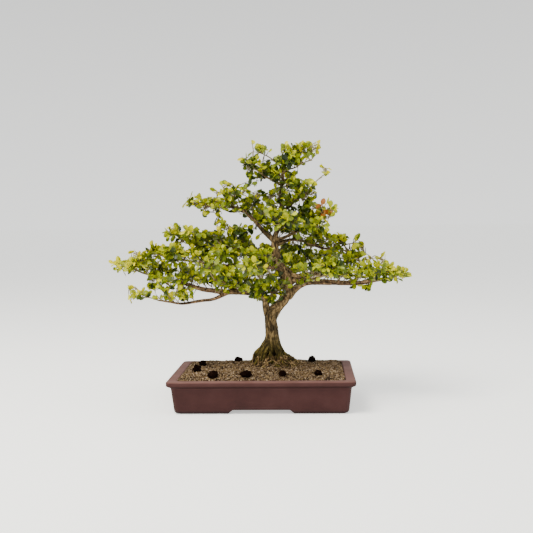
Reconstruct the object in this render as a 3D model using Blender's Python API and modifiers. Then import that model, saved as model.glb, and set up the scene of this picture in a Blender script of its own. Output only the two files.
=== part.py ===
"""Boxwood bonsai: a small trained tree in a shallow unglazed clay tray.

Sizes are in metres and +Z is up. The origin is the middle of the tray's underside, on the
surface that it stands on. +X is the viewer's right and -Y faces the viewer.
"""
import math
import random

import bmesh
import bpy
from mathutils import Matrix, Vector
from mathutils.bvhtree import BVHTree

# Clear space between neighbouring solids
FIT = 0.00035

# Tray
TRAY_LENGTH = 0.300
TRAY_DEPTH = 0.205
TRAY_HEIGHT = 0.053
CORNER_RADIUS = 0.008
CORNER_STEPS = 3
LIP_OVERHANG = 0.0068
LIP_FACE = 0.0062
LIP_UNDERCUT = 0.0040
RIM_WIDTH = 0.016
WALL_TAPER = 0.0047
EDGE_ROUND = 0.0012
HEEL_ROUND = 0.0045
FOOT_HEIGHT = 0.006
FOOT_WIDTH = 0.014
FLOOR_TOP = 0.0125
FLOOR_FILLET = 0.003
ARCH_LENGTH = 0.106
ARCH_LENGTH_TOP = 0.088
SIDE_ARCH_LENGTH = 0.074
SIDE_ARCH_LENGTH_TOP = 0.058
DRAIN_X = 0.062
DRAIN_RADIUS = 0.009

# Soil: a bed mounded above the rim from a little inside it, and heaped up round the trunk
SOIL_EDGE_Z = 0.0518
MOUND_HEIGHT = 0.0072
MOUND_REACH = 0.012
HEAP_HEIGHT = 0.0085
HEAP_REACH_X = 0.050
HEAP_REACH_Y = 0.045
SOIL_RINGS = 7
RING_CROWDING = 1.5
SOIL_RELIEF = 0.0008

# Surface roots, as seven lobes counted round from +X, and the trunk's core inside them
ROOT_REACH = (0.0365, 0.031, 0.028, 0.0405, 0.0420, 0.030, 0.034)
ROOT_STEPS = 4
ROOT_SIDES = ROOT_STEPS * len(ROOT_REACH)
ROOT_FOOT_Z = 0.040
HOLE_SPARE = 0.0007
ROOT_CENTRE = (0.0205, 0.012)
# Height, centre x, radius of the core, and how much of the lobes is left there
FLARE = (
    (ROOT_FOOT_Z, 0.0205, 0.0220, 1.00),
    (0.0635, 0.0205, 0.0220, 1.00),
    (0.0700, 0.0180, 0.0205, 0.92),
    (0.0780, 0.0125, 0.0175, 0.72),
    (0.0870, 0.0130, 0.0150, 0.40),
    (0.0970, 0.0143, 0.0128, 0.10),
    (0.1080, 0.0150, 0.0110, 0.02),
)

# Trunk above the roots: place and radius
TRUNK = (
    ((0.0142, 0.0110, 0.120), 0.0108),
    ((0.0132, 0.0100, 0.136), 0.0104),
    ((0.0150, 0.0090, 0.148), 0.0108),
    ((0.0258, 0.0080, 0.161), 0.0084),
    ((0.0368, 0.0060, 0.173), 0.0076),
    ((0.0415, 0.0050, 0.186), 0.0080),
    ((0.0420, 0.0050, 0.200), 0.0084),
    ((0.0380, 0.0060, 0.213), 0.0084),
    ((0.0310, 0.0080, 0.227), 0.0078),
    ((0.0250, 0.0100, 0.241), 0.0070),
    ((0.0220, 0.0110, 0.255), 0.0062),
    ((0.0210, 0.0110, 0.267), 0.0054),
    ((0.0230, 0.0100, 0.281), 0.0045),
    ((0.0290, 0.0080, 0.295), 0.0040),
    ((0.0340, 0.0060, 0.311), 0.0036),
    ((0.0340, 0.0050, 0.326), 0.0033),
    ((0.0310, 0.0050, 0.341), 0.0031),
    ((0.0330, 0.0050, 0.356), 0.0030),
    ((0.0360, 0.0050, 0.371), 0.0028),
    ((0.0360, 0.0040, 0.386), 0.0024),
    ((0.0390, 0.0030, 0.400), 0.0019),
    ((0.0460, 0.0020, 0.411), 0.0015),
)
FULL_TRUNK_RINGS = 7

# Limbs: radius at the root, radius at the tip, where the leafy branchlets that they bear
# reach to, the last of them from the limb's tip, and the limb's route
LIMBS = {
    "left_low": (0.0062, 0.0013,
        ((-0.206, -0.020, 0.239), (-0.181, 0.022, 0.223), (-0.129, 0.030, 0.213),
         (-0.238, 0.000, 0.234)), (
        (0.009, 0.009, 0.146), (0.005, 0.009, 0.160), (0.004, 0.007, 0.171), (0.001, 0.002, 0.180),
        (-0.010, -0.008, 0.185), (-0.028, -0.016, 0.187), (-0.046, -0.020, 0.188), (-0.062, -0.022, 0.188),
        (-0.078, -0.021, 0.190), (-0.094, -0.019, 0.192), (-0.111, -0.015, 0.196), (-0.127, -0.011, 0.201),
        (-0.146, -0.006, 0.206), (-0.172, 0.000, 0.213), (-0.197, 0.004, 0.218), (-0.212, 0.002, 0.224))),
    "left_hanging": (0.0029, 0.0012,
        ((-0.155, -0.078, 0.199), (-0.195, -0.060, 0.185)), (
        (-0.056, -0.022, 0.187), (-0.078, -0.034, 0.178), (-0.099, -0.045, 0.176), (-0.126, -0.056, 0.173),
        (-0.146, -0.060, 0.176), (-0.164, -0.062, 0.179))),
    "left_middle": (0.0033, 0.0012,
        ((-0.038, -0.020, 0.290), (-0.083, 0.018, 0.280), (-0.116, -0.025, 0.286),
         (-0.153, 0.006, 0.286)), (
        (0.023, 0.010, 0.246), (0.003, 0.006, 0.249), (-0.020, -0.002, 0.253), (-0.045, -0.008, 0.260),
        (-0.072, -0.010, 0.262), (-0.100, -0.007, 0.264), (-0.122, -0.002, 0.269))),
    "left_shelf": (0.0034, 0.0012,
        ((-0.062, -0.050, 0.249), (-0.110, 0.010, 0.253), (-0.143, -0.040, 0.256),
         (-0.185, -0.010, 0.255)), (
        (0.032, 0.006, 0.224), (0.010, -0.010, 0.228), (-0.019, -0.022, 0.231), (-0.054, -0.032, 0.232),
        (-0.090, -0.034, 0.236), (-0.128, -0.030, 0.242), (-0.156, -0.022, 0.244))),
    "left_upper": (0.0040, 0.0012,
        ((-0.017, 0.018, 0.335), (-0.050, -0.015, 0.350), (-0.086, 0.016, 0.340),
         (-0.118, -0.004, 0.336)), (
        (0.021, 0.010, 0.270), (0.004, 0.006, 0.286), (-0.005, 0.002, 0.297), (-0.016, 0.000, 0.309),
        (-0.034, -0.001, 0.323), (-0.052, -0.002, 0.328), (-0.077, -0.004, 0.328), (-0.092, -0.004, 0.330))),
    "top_left": (0.0023, 0.0011,
        ((0.006, 0.014, 0.386), (-0.027, -0.010, 0.400)), (
        (0.036, 0.004, 0.362), (0.023, 0.000, 0.370), (0.010, -0.004, 0.376), (0.002, -0.008, 0.381))),
    "top_left_twig": (0.0016, 0.0010,
        ((-0.006, 0.004, 0.419),), (
        (0.037, 0.004, 0.392), (0.028, 0.004, 0.398), (0.022, 0.004, 0.404))),
    "apex": (0.0018, 0.0010,
        ((0.044, -0.020, 0.403), (0.070, 0.000, 0.422)), (
        (0.038, 0.003, 0.396), (0.046, 0.002, 0.402), (0.055, 0.000, 0.406))),
    "apex_right": (0.0018, 0.0010,
        ((0.088, -0.008, 0.404),), (
        (0.036, 0.004, 0.383), (0.046, -0.004, 0.388), (0.058, -0.008, 0.391))),
    "right_top": (0.0024, 0.0011,
        ((0.070, -0.022, 0.363), (0.105, -0.004, 0.380)), (
        (0.034, 0.005, 0.320), (0.047, 0.000, 0.327), (0.056, -0.004, 0.337), (0.066, -0.007, 0.342),
        (0.076, -0.008, 0.350))),
    "right_middle": (0.0030, 0.0012,
        ((0.067, 0.024, 0.317), (0.090, -0.034, 0.293), (0.110, -0.018, 0.324)), (
        (0.024, 0.010, 0.271), (0.040, 0.004, 0.277), (0.055, -0.004, 0.284), (0.070, -0.012, 0.291),
        (0.088, -0.016, 0.298))),
    "right_shoulder": (0.0030, 0.0012,
        ((0.128, 0.046, 0.271), (0.166, 0.030, 0.264)), (
        (0.024, 0.010, 0.263), (0.043, 0.014, 0.271), (0.063, 0.020, 0.271), (0.084, 0.026, 0.263),
        (0.104, 0.030, 0.256), (0.124, 0.032, 0.257), (0.138, 0.032, 0.261))),
    "right_low": (0.0068, 0.0013,
        ((0.093, -0.030, 0.226), (0.172, 0.010, 0.220), (0.201, -0.032, 0.222), (0.231, -0.008, 0.212)), (
        (0.041, 0.006, 0.178), (0.051, 0.005, 0.187), (0.063, 0.001, 0.197), (0.077, -0.003, 0.202),
        (0.096, -0.008, 0.202), (0.121, -0.011, 0.201), (0.146, -0.013, 0.200), (0.170, -0.014, 0.201),
        (0.191, -0.013, 0.204), (0.211, -0.010, 0.206))),
    "right_second": (0.0056, 0.0013,
        ((0.191, 0.064, 0.239),), (
        (0.042, 0.007, 0.198), (0.056, 0.012, 0.207), (0.071, 0.018, 0.212), (0.089, 0.026, 0.213),
        (0.106, 0.034, 0.211), (0.124, 0.043, 0.211), (0.146, 0.054, 0.219))),
    "right_front": (0.0026, 0.0012,
        ((0.114, -0.118, 0.231),), (
        (0.063, 0.001, 0.197), (0.077, -0.030, 0.206), (0.093, -0.060, 0.213), (0.106, -0.080, 0.218))),
    "front": (0.0034, 0.0012,
        ((0.014, -0.090, 0.250), (-0.011, -0.130, 0.231)), (
        (0.034, 0.007, 0.221), (0.025, -0.025, 0.227), (0.016, -0.055, 0.229), (0.005, -0.082, 0.228),
        (-0.001, -0.098, 0.227))),
    "front_left": (0.0030, 0.0012,
        ((-0.049, -0.088, 0.219), (-0.081, -0.122, 0.234)), (
        (-0.021, -0.011, 0.186), (-0.037, -0.045, 0.199), (-0.053, -0.072, 0.207), (-0.070, -0.090, 0.213))),
    "front_high": (0.0024, 0.0011,
        ((0.049, -0.062, 0.302),), (
        (0.026, 0.010, 0.285), (0.031, -0.018, 0.292), (0.040, -0.040, 0.297))),
    "back_left": (0.0032, 0.0012,
        ((-0.036, 0.078, 0.260), (-0.091, 0.116, 0.263)), (
        (0.024, 0.011, 0.243), (-0.002, 0.038, 0.245), (-0.034, 0.068, 0.250), (-0.058, 0.088, 0.253))),
    "back": (0.0032, 0.0012,
        ((0.038, 0.085, 0.238), (0.020, 0.130, 0.251)), (
        (0.038, 0.008, 0.212), (0.037, 0.045, 0.222), (0.031, 0.078, 0.227), (0.026, 0.100, 0.232))),
    "back_right": (0.0024, 0.0012,
        ((0.116, 0.118, 0.239),), (
        (0.078, 0.021, 0.212), (0.089, 0.060, 0.223), (0.100, 0.084, 0.230))),
    "back_high": (0.0026, 0.0011,
        ((-0.003, 0.076, 0.318),), (
        (0.028, 0.008, 0.292), (0.016, 0.034, 0.304), (0.006, 0.052, 0.311))),
    "front_low": (0.0026, 0.0012,
        ((-0.006, -0.058, 0.196),), (
        (0.036, 0.006, 0.176), (0.030, -0.012, 0.183), (0.020, -0.028, 0.187), (0.010, -0.040, 0.189))),
}
LIMB_SIDES = 1

# Branchlets: a stem that ends in a leafy shoot and bears one on each side. A branchlet leaves
# its limb nearer the trunk than its end is, by this share of its length.
FOOT_SET_BACK = 0.7
FOOT_STEPS = 60
FIRST_FOOT = 0.030
END_SHOOT_REACH = 0.016
SHORTEST_STEM = 0.007
SIDE_SHOOTS_AT = 0.55
SIDE_SWING = math.radians(62)
TIP_SIDE_SWING = math.radians(50)
SIDE_RISE = math.radians(24)
STEM_RISE_KEPT = 0.7
SWING_JITTER = math.radians(14)
SIDE_ROLL = math.radians(-70)
ROLL_JITTER = math.radians(18)
SIDEWAYS_FACING = 0.75
STEM_WIDTH = 0.0026
STEM_DEPTH = 0.0022
RIB_WIDTH = 0.0014
RIB_DEPTH = 0.0013
NECK = 0.0018
SHOOT_ROOT = 0.0062
INTERNODE = 0.0112
SHOOT_ARCH = 4.0
SHOOT_PAIRS = (2, 1, 1)

# Leaves
LEAF_LENGTH = 0.0135
LEAF_WIDTH = 0.0086
LEAF_DEPTH = 0.0007
LEAF_WIDEST = 0.56
LEAF_TIP_WIDTH = 0.48
LEAF_DROOP = 0.0014
LEAF_ANGLE = math.radians(58)
LEAF_LIFT = 0.22

# Space kept round a new shoot, and the turns in degrees tried when it would touch something:
# sideways, up, and about itself
TEST_SPARE = 0.0004
TRIED_TURNS = (
    (0, 0, 0), (0, 12, 0), (12, 0, 0), (-12, 0, 0), (0, -12, 0), (0, 0, 30), (0, 0, -30),
    (20, 14, 0), (-20, 14, 0), (0, 28, 0), (28, 0, 30), (-28, 0, -30), (36, 20, 0), (-36, 20, 0),
    (50, 0, 20), (-50, 0, -20), (0, 44, 0), (0, -30, 0), (70, 20, 0), (-70, 20, 0),
)

# Fertiliser cakes: place on the soil, size across, and height
CAKES = (
    (-0.1050, 0.0225, 0.016, 0.011), (-0.1075, -0.0360, 0.017, 0.014), (-0.0768, -0.0745, 0.018, 0.012),
    (-0.0460, 0.0500, 0.015, 0.011), (-0.0252, -0.0715, 0.020, 0.011), (0.0337, -0.0705, 0.013, 0.010),
    (0.0810, 0.0400, 0.016, 0.012), (0.0910, -0.0670, 0.013, 0.0095),
)
CAKE_NARROWING = 0.85
CAKE_FLAT = 0.55
CAKE_ROUGHNESS = (0.86, 1.12)
SMOOTH_LIMIT = math.radians(35)

UP = Vector((0, 0, 1))


def clear_scene():
    for thing in list(bpy.data.objects):
        bpy.data.objects.remove(thing)


def new_collection(name):
    group = bpy.data.collections.new(name)
    bpy.context.scene.collection.children.link(group)
    return group


clear_scene()
PARTS = new_collection("boxwood_bonsai")
CUTTERS = new_collection("cutters")


def material(name, colour, roughness):
    finish = bpy.data.materials.new(name)
    finish.use_nodes = True
    shader = finish.node_tree.nodes["Principled BSDF"]
    shader.inputs["Base Color"].default_value = (*colour, 1.0)
    shader.inputs["Roughness"].default_value = roughness
    return finish


def new_object(name, mesh, group, finish=None):
    thing = bpy.data.objects.new(name, mesh)
    group.objects.link(thing)
    if finish:
        mesh.materials.clear()
        mesh.materials.append(finish)
    return thing


def evaluated_mesh(thing):
    bpy.context.view_layer.update()
    graph = bpy.context.evaluated_depsgraph_get()
    return bpy.data.meshes.new_from_object(thing.evaluated_get(graph))


def mesh_of(bm, name):
    bmesh.ops.recalc_face_normals(bm, faces=bm.faces[:])
    mesh = bpy.data.meshes.new(name)
    bm.to_mesh(mesh)
    bm.free()
    return mesh


def ring(bm, places):
    return [bm.verts.new(place) for place in places]


def bridge(bm, low, high):
    """Four-sided faces between two rings with the same number of points."""
    count = len(low)
    for i in range(count):
        j = (i + 1) % count
        bm.faces.new((low[i], low[j], high[j], high[i]))


def bridge_to_half(bm, low, high):
    """Faces between a ring and one above it that has half as many points."""
    count = len(high)
    for i in range(count):
        a = low[2 * i]
        b = low[2 * i + 1]
        c = low[(2 * i + 2) % len(low)]
        top = high[i]
        after = high[(i + 1) % count]
        bm.faces.new((a, b, top))
        bm.faces.new((b, c, after, top))


def tube(name, route, radii, resolution):
    """A tapered round stem along a route, as a mesh with its end caps welded on."""
    curve = bpy.data.curves.new(name, "CURVE")
    curve.dimensions = "3D"
    curve.bevel_depth = 1.0
    curve.bevel_resolution = resolution
    curve.use_fill_caps = True
    spline = curve.splines.new("POLY")
    spline.points.add(len(route) - 1)
    for point, place, radius in zip(spline.points, route, radii):
        point.co = (*place, 1.0)
        point.radius = radius
    guide = new_object(name, curve, CUTTERS)
    mesh = evaluated_mesh(guide)
    bpy.data.objects.remove(guide)
    bm = bmesh.new()
    bm.from_mesh(mesh)
    bmesh.ops.remove_doubles(bm, verts=bm.verts[:], dist=0.00001)
    return new_object(name, mesh_of(bm, name), CUTTERS)


def combined(name, base, others, operation, finish, solver="EXACT"):
    """The base joined with, or cut by, the other solids in one Boolean, which are then removed."""
    group = new_collection(name + "_pieces")
    for other in others:
        CUTTERS.objects.unlink(other)
        group.objects.link(other)
    change = base.modifiers.new(operation.lower(), "BOOLEAN")
    change.operation = operation
    change.solver = solver
    change.operand_type = "COLLECTION"
    change.collection = group
    result = new_object(name, evaluated_mesh(base), PARTS, finish)
    for other in [base, *others]:
        bpy.data.objects.remove(other)
    bpy.data.collections.remove(group)
    return result


def smoothed(thing):
    """Shades an object smooth, apart from its sharper edges."""
    thing.data.shade_smooth()
    thing.data.set_sharp_from_angle(angle=SMOOTH_LIMIT)
    return thing


def surface_of(thing):
    """A search tree over an object's faces, for testing what would touch it."""
    mesh = evaluated_mesh(thing)
    places = [vertex.co.copy() for vertex in mesh.vertices]
    faces = [tuple(face.vertices) for face in mesh.polygons]
    return BVHTree.FromPolygons(places, faces)


# Tray


def rounded_outline(inset, z, radius=CORNER_RADIUS, along_sides=0):
    """Points round a rectangle with round corners, set in from the outside of the lip.
    along_sides adds points on the straight sides, twice as many on the long ones."""
    half_x = TRAY_LENGTH / 2 - inset
    half_y = TRAY_DEPTH / 2 - inset
    places = []
    for corner, (sx, sy) in enumerate(((1, 1), (-1, 1), (-1, -1), (1, -1))):
        middle = Vector((sx * (half_x - radius), sy * (half_y - radius), z))
        for step in range(CORNER_STEPS + 1):
            angle = math.radians(90) * (corner + step / CORNER_STEPS)
            places.append(middle + radius * Vector((math.cos(angle), math.sin(angle), 0)))
        if along_sides:
            start = places[-1]
            long_side = corner % 2 == 0
            mirrored = Vector((-start.x, start.y, z)) if long_side else Vector((start.x, -start.y, z))
            count = along_sides * (2 if long_side else 1)
            for step in range(1, count + 1):
                places.append(start.lerp(mirrored, step / (count + 1)))
    return places


def wall_inset(z):
    """How far the tapered wall's outer face is set in from the lip at a height."""
    wall_top = TRAY_HEIGHT - LIP_FACE - LIP_UNDERCUT
    return LIP_OVERHANG + WALL_TAPER * (wall_top - z) / wall_top


def inner_inset(z):
    """How far the wall's inner face is set in from the lip at a height."""
    return RIM_WIDTH + wall_inset(z) - LIP_OVERHANG if z < TRAY_HEIGHT - LIP_FACE else RIM_WIDTH


def tray_blank():
    lip_bottom = TRAY_HEIGHT - LIP_FACE
    profile = (
        (wall_inset(0) + HEEL_ROUND, 0),
        (wall_inset(0) + HEEL_ROUND * 0.3, HEEL_ROUND * 0.3),
        (wall_inset(HEEL_ROUND), HEEL_ROUND),
        (LIP_OVERHANG, lip_bottom - LIP_UNDERCUT),
        (EDGE_ROUND * 0.6, lip_bottom - EDGE_ROUND),
        (0, lip_bottom),
        (0, TRAY_HEIGHT - EDGE_ROUND),
        (EDGE_ROUND, TRAY_HEIGHT),
        (RIM_WIDTH - EDGE_ROUND, TRAY_HEIGHT),
        (RIM_WIDTH, TRAY_HEIGHT - EDGE_ROUND),
        (inner_inset(FLOOR_TOP + FLOOR_FILLET), FLOOR_TOP + FLOOR_FILLET),
        (inner_inset(FLOOR_TOP) + FLOOR_FILLET, FLOOR_TOP),
    )
    bm = bmesh.new()
    rings = [ring(bm, rounded_outline(inset, z)) for inset, z in profile]
    for low, high in zip(rings, rings[1:]):
        bridge(bm, low, high)
    bm.faces.new(rings[0])
    bm.faces.new(rings[-1])
    return new_object("tray_blank", mesh_of(bm, "tray_blank"), CUTTERS)


def wedge(name, length, length_top, width, along_x):
    """A low block under the tray whose ends slope in towards its top."""
    bm = bmesh.new()
    bmesh.ops.create_cube(bm, size=1)
    for vertex in bm.verts:
        span = length_top if vertex.co.z > 0 else length + (length - length_top)
        vertex.co.x *= span
        vertex.co.y *= width
        vertex.co.z = FOOT_HEIGHT if vertex.co.z > 0 else -FOOT_HEIGHT
    if not along_x:
        quarter = Matrix.Rotation(math.pi / 2, 3, "Z")
        bmesh.ops.rotate(bm, verts=bm.verts[:], cent=(0, 0, 0), matrix=quarter)
    return new_object(name, mesh_of(bm, name), CUTTERS)


def drain_cutter(side):
    bm = bmesh.new()
    place = Matrix.Translation((side * DRAIN_X, 0, FLOOR_TOP))
    bmesh.ops.create_cone(bm, cap_ends=True, segments=16, radius1=DRAIN_RADIUS, radius2=DRAIN_RADIUS,
                          depth=4 * FOOT_HEIGHT, matrix=place)
    return new_object("drain_cutter", mesh_of(bm, "drain_cutter"), CUTTERS)


def make_tray(finish):
    under = 2 * (wall_inset(0) + FOOT_WIDTH)
    hollow = wedge("under_hollow", TRAY_LENGTH - under, TRAY_LENGTH - under, TRAY_DEPTH - under, True)
    front_arch = wedge("front_arch", ARCH_LENGTH, ARCH_LENGTH_TOP, TRAY_DEPTH, True)
    side_arch = wedge("side_arch", SIDE_ARCH_LENGTH, SIDE_ARCH_LENGTH_TOP, TRAY_LENGTH, False)
    drains = [drain_cutter(-1), drain_cutter(1)]
    cutters = [hollow, front_arch, side_arch, *drains]
    return smoothed(combined("pot", tray_blank(), cutters, "DIFFERENCE", finish))


# Roots, trunk and soil


def root_outline(core, share, centre_x, z, spare=0.0):
    """Points round the lobed foot of the trunk."""
    places = []
    for step in range(ROOT_SIDES):
        lobe, part = divmod(step, ROOT_STEPS)
        following = ROOT_REACH[(lobe + 1) % len(ROOT_REACH)]
        height = (1 + math.cos(2 * math.pi * part / ROOT_STEPS)) / 2
        reach = ROOT_REACH[lobe] if part <= ROOT_STEPS / 2 else following
        radius = core + share * height * (reach - FLARE[0][2]) + spare
        angle = 2 * math.pi * step / ROOT_SIDES
        places.append(Vector((centre_x + radius * math.cos(angle),
                              ROOT_CENTRE[1] + radius * math.sin(angle), z)))
    return places


def soil_height(x, y):
    """The smooth top of the soil."""
    across = (x - ROOT_CENTRE[0]) / HEAP_REACH_X
    deep = (y - ROOT_CENTRE[1]) / HEAP_REACH_Y
    heap = HEAP_HEIGHT * math.exp(-across * across - deep * deep)
    from_wall = min(TRAY_LENGTH / 2 - RIM_WIDTH - abs(x), TRAY_DEPTH / 2 - RIM_WIDTH - abs(y))
    mound = MOUND_HEIGHT * (1 - math.exp(-max(from_wall, 0) / MOUND_REACH))
    return SOIL_EDGE_Z + mound + heap


def soil_ring(outer, inner, share, draw):
    """A ring of the soil's top, between its edge and the hole for the roots."""
    places = []
    for edge, hole in zip(outer, inner):
        place = edge.lerp(hole, share ** RING_CROWDING)
        place.z = soil_height(place.x, place.y)
        if 0 < share < 1:
            place.z += draw.uniform(-SOIL_RELIEF, SOIL_RELIEF)
        places.append(place)
    return places


def turned_to_match(places, count):
    """The outline's points, starting nearest to +X, so that they face the root lobes."""
    first = min(range(count), key=lambda i: abs(math.atan2(places[i].y, places[i].x)))
    return places[first:] + places[:first]


def make_soil(finish):
    draw = random.Random(4)
    low_z = FLOOR_TOP + FIT
    fillet_z = FLOOR_TOP + FLOOR_FILLET + FIT
    sides = ((inner_inset(FLOOR_TOP) + FLOOR_FILLET + FIT, low_z),
             (inner_inset(fillet_z) + FIT, fillet_z),
             (inner_inset(SOIL_EDGE_Z) + 2 * FIT, SOIL_EDGE_Z - 0.001))
    outlines = []
    for inset, z in sides:
        outlines.append(turned_to_match(rounded_outline(inset, z, along_sides=2), ROOT_SIDES))
    hole = root_outline(FLARE[0][2], 1.0, ROOT_CENTRE[0], 0, HOLE_SPARE)
    bm = bmesh.new()
    rings = [ring(bm, outline) for outline in outlines]
    for step in range(SOIL_RINGS + 1):
        rings.append(ring(bm, soil_ring(outlines[-1], hole, step / SOIL_RINGS, draw)))
    hole_bottom = []
    for place in hole:
        hole_bottom.append(Vector((place.x, place.y, ROOT_FOOT_Z - FIT)))
    rings.append(ring(bm, hole_bottom))
    for low, high in zip(rings, rings[1:]):
        bridge(bm, low, high)
    bm.faces.new(rings[0])
    bm.faces.new(rings[-1])
    bmesh.ops.triangulate(bm, faces=bm.faces[:])
    return new_object("soil", mesh_of(bm, "soil"), PARTS, finish)


def ring_across(place, direction, radius, sides):
    """Points of a ring square to the trunk's direction, starting towards +X."""
    across = (Vector((1, 0, 0)) - direction * direction.x).normalized()
    deep = direction.cross(across)
    places = []
    for step in range(sides):
        angle = 2 * math.pi * step / sides
        places.append(place + radius * (math.cos(angle) * across + math.sin(angle) * deep))
    return places


def trunk_blank():
    """Lobed foot, round trunk with half as many sides, and the slim top with half of those."""
    bm = bmesh.new()
    rings = []
    for z, centre_x, core, share in FLARE:
        rings.append(ring(bm, root_outline(core, share, centre_x, z)))
    bm.faces.new(rings[0])
    places = [Vector(place) for place, radius in TRUNK]
    for i, (place, radius) in enumerate(TRUNK):
        before = places[max(i - 1, 0)]
        after = places[min(i + 1, len(places) - 1)]
        direction = (after - before).normalized()
        sides = ROOT_SIDES // 2 if i < FULL_TRUNK_RINGS else ROOT_SIDES // 4
        rings.append(ring(bm, ring_across(places[i], direction, radius, sides)))
    for low, high in zip(rings, rings[1:]):
        if len(low) == len(high):
            bridge(bm, low, high)
        else:
            bridge_to_half(bm, low, high)
    bm.faces.new(rings[-1])
    return new_object("trunk_blank", mesh_of(bm, "trunk_blank"), CUTTERS)


def make_wood(finish):
    limbs = []
    for name, (radius, tip_radius, reaches, route) in LIMBS.items():
        count = len(route) - 1
        radii = [radius + (tip_radius - radius) * i / count for i in range(count + 1)]
        limbs.append(tube(name, route, radii, LIMB_SIDES))
    return smoothed(combined("trunk_and_limbs", trunk_blank(), limbs, "UNION", finish))


# Foliage


def thin_rib(bm, first, second, centre, across, width, depth):
    """Carries a rib from one pair of points to a new pair, and says how deep it is there."""
    pair = ring(bm, (centre - across * width / 2, centre + across * width / 2))
    bm.faces.new((first, second, pair[1], pair[0]))
    set_depth(bm, pair, depth)
    return pair


def set_depth(bm, verts, depth):
    layer = bm.verts.layers.deform.verify()
    for vertex in verts:
        vertex[layer][0] = depth / STEM_DEPTH


def leaf(bm, first, second, direction, normal, spare):
    """One obovate leaf on the rib edge from first to second, bent down at its tip."""
    direction = direction.normalized()
    across = direction.cross(normal).normalized()
    normal = across.cross(direction)
    base = (first.co + second.co) / 2
    wide = across * (LEAF_WIDTH / 2 + spare)
    tip = across * (LEAF_WIDTH * LEAF_TIP_WIDTH / 2 + spare)
    widest = base + direction * LEAF_LENGTH * LEAF_WIDEST
    end = base + direction * (LEAF_LENGTH + spare) - normal * LEAF_DROOP
    wide_pair = ring(bm, (widest - wide, widest + wide))
    tip_pair = ring(bm, (end - tip, end + tip))
    bm.faces.new((first, second, wide_pair[1], wide_pair[0]))
    bm.faces.new((wide_pair[0], wide_pair[1], tip_pair[1], tip_pair[0]))
    set_depth(bm, wide_pair + tip_pair, LEAF_DEPTH)


def shoot(bm, first, second, root, direction, normal, pairs, spare):
    """A leafy shoot on the edge from first to second: opposite leaves and one at the tip."""
    across = direction.cross(normal).normalized()
    width = RIB_WIDTH + 2 * spare
    near = [first, second]
    for pair in range(pairs):
        reach = SHOOT_ROOT + pair * INTERNODE
        centre = root + direction * reach - normal * SHOOT_ARCH * reach ** 2
        near = thin_rib(bm, *near, centre, across, width, RIB_DEPTH)
        far = thin_rib(bm, *near, centre + direction * NECK, across, width, RIB_DEPTH)
        forward = direction * math.cos(LEAF_ANGLE) + normal * LEAF_LIFT
        outward = across * math.sin(LEAF_ANGLE)
        leaf(bm, near[0], far[0], forward - outward, normal, spare)
        leaf(bm, far[1], near[1], forward + outward, normal, spare)
        near = far
    leaf(bm, near[0], near[1], direction, normal, spare)


def branchlet_surface(foot, aim, length, shoots, spare=0.0):
    """The middle surface of a branchlet: its stem, the shoot at its end and those at its sides.
    A shoot is its direction, the side that its leaves face, and its pairs of leaves."""
    bm = bmesh.new()
    bm.verts.layers.deform.new()
    end_direction, end_normal, end_pairs = shoots[0]
    across = aim.cross(end_normal).normalized()
    width = STEM_WIDTH + 2 * spare
    start = ring(bm, (foot - across * width / 2, foot + across * width / 2))
    set_depth(bm, start, STEM_DEPTH)
    middle = foot + aim * length * SIDE_SHOOTS_AT
    near = thin_rib(bm, *start, middle, across, width, STEM_DEPTH)
    far = thin_rib(bm, *near, middle + aim * NECK, across, width, STEM_DEPTH)
    end = foot + aim * length
    tip = thin_rib(bm, *far, end, across, (width + RIB_WIDTH) / 2, RIB_DEPTH)
    shoot(bm, *tip, end, end_direction, end_normal, end_pairs, spare)
    edges = ((near[0], far[0]), (far[1], near[1]))
    for (first, second), (direction, normal, pairs) in zip(edges, shoots[1:]):
        if pairs:
            shoot(bm, first, second, (first.co + second.co) / 2, direction, normal, pairs, spare)
    bmesh.ops.triangulate(bm, faces=bm.faces[:])
    mesh = bpy.data.meshes.new("branchlet")
    bm.to_mesh(mesh)
    bm.free()
    return mesh


def thickened(mesh, depth):
    """A quick solid of even depth from a middle surface, to test what it would touch."""
    bm = bmesh.new()
    bm.from_mesh(mesh)
    bmesh.ops.solidify(bm, geom=bm.faces[:], thickness=depth)
    bm.normal_update()
    places = [vertex.co.copy() for vertex in bm.verts]
    bm.verts.index_update()
    faces = [tuple(vertex.index for vertex in face.verts) for face in bm.faces]
    bm.free()
    return BVHTree.FromPolygons(places, faces), faces


def crosses_itself(surface, faces):
    for a, b in surface.overlap(surface):
        if a < b and not set(faces[a]) & set(faces[b]):
            return True
    return False


def heading(azimuth, rise):
    flat = math.cos(rise)
    return Vector((flat * math.cos(azimuth), flat * math.sin(azimuth), math.sin(rise)))


def faced(direction, roll):
    """The side that a shoot's leaves face: half up and half sideways, then rolled about it."""
    sideways = Vector((direction.y, -direction.x, 0)).normalized()
    facing = SIDEWAYS_FACING * sideways + UP
    side = (facing - direction * direction.dot(facing)).normalized()
    return Matrix.Rotation(roll, 3, direction) @ side


def along_route(places, lengths, distance):
    """The place on a route at a distance from its start."""
    for a, b, length in zip(places, places[1:], lengths):
        if distance <= length:
            return a.lerp(b, distance / length)
        distance -= length
    return places[-1]


def branchlet_foot(route, reach):
    """Where a branchlet to reach leaves its limb: a little nearer the trunk than its end."""
    places = [Vector(place) for place in route]
    lengths = [(b - a).length for a, b in zip(places, places[1:])]
    steps = [sum(lengths) * i / FOOT_STEPS for i in range(FOOT_STEPS + 1)]
    nearest = min(steps, key=lambda step: (along_route(places, lengths, step) - reach).length)
    apart = (along_route(places, lengths, nearest) - reach).length
    first = min(FIRST_FOOT, nearest / 2)
    return along_route(places, lengths, max(nearest - FOOT_SET_BACK * apart, first))


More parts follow.
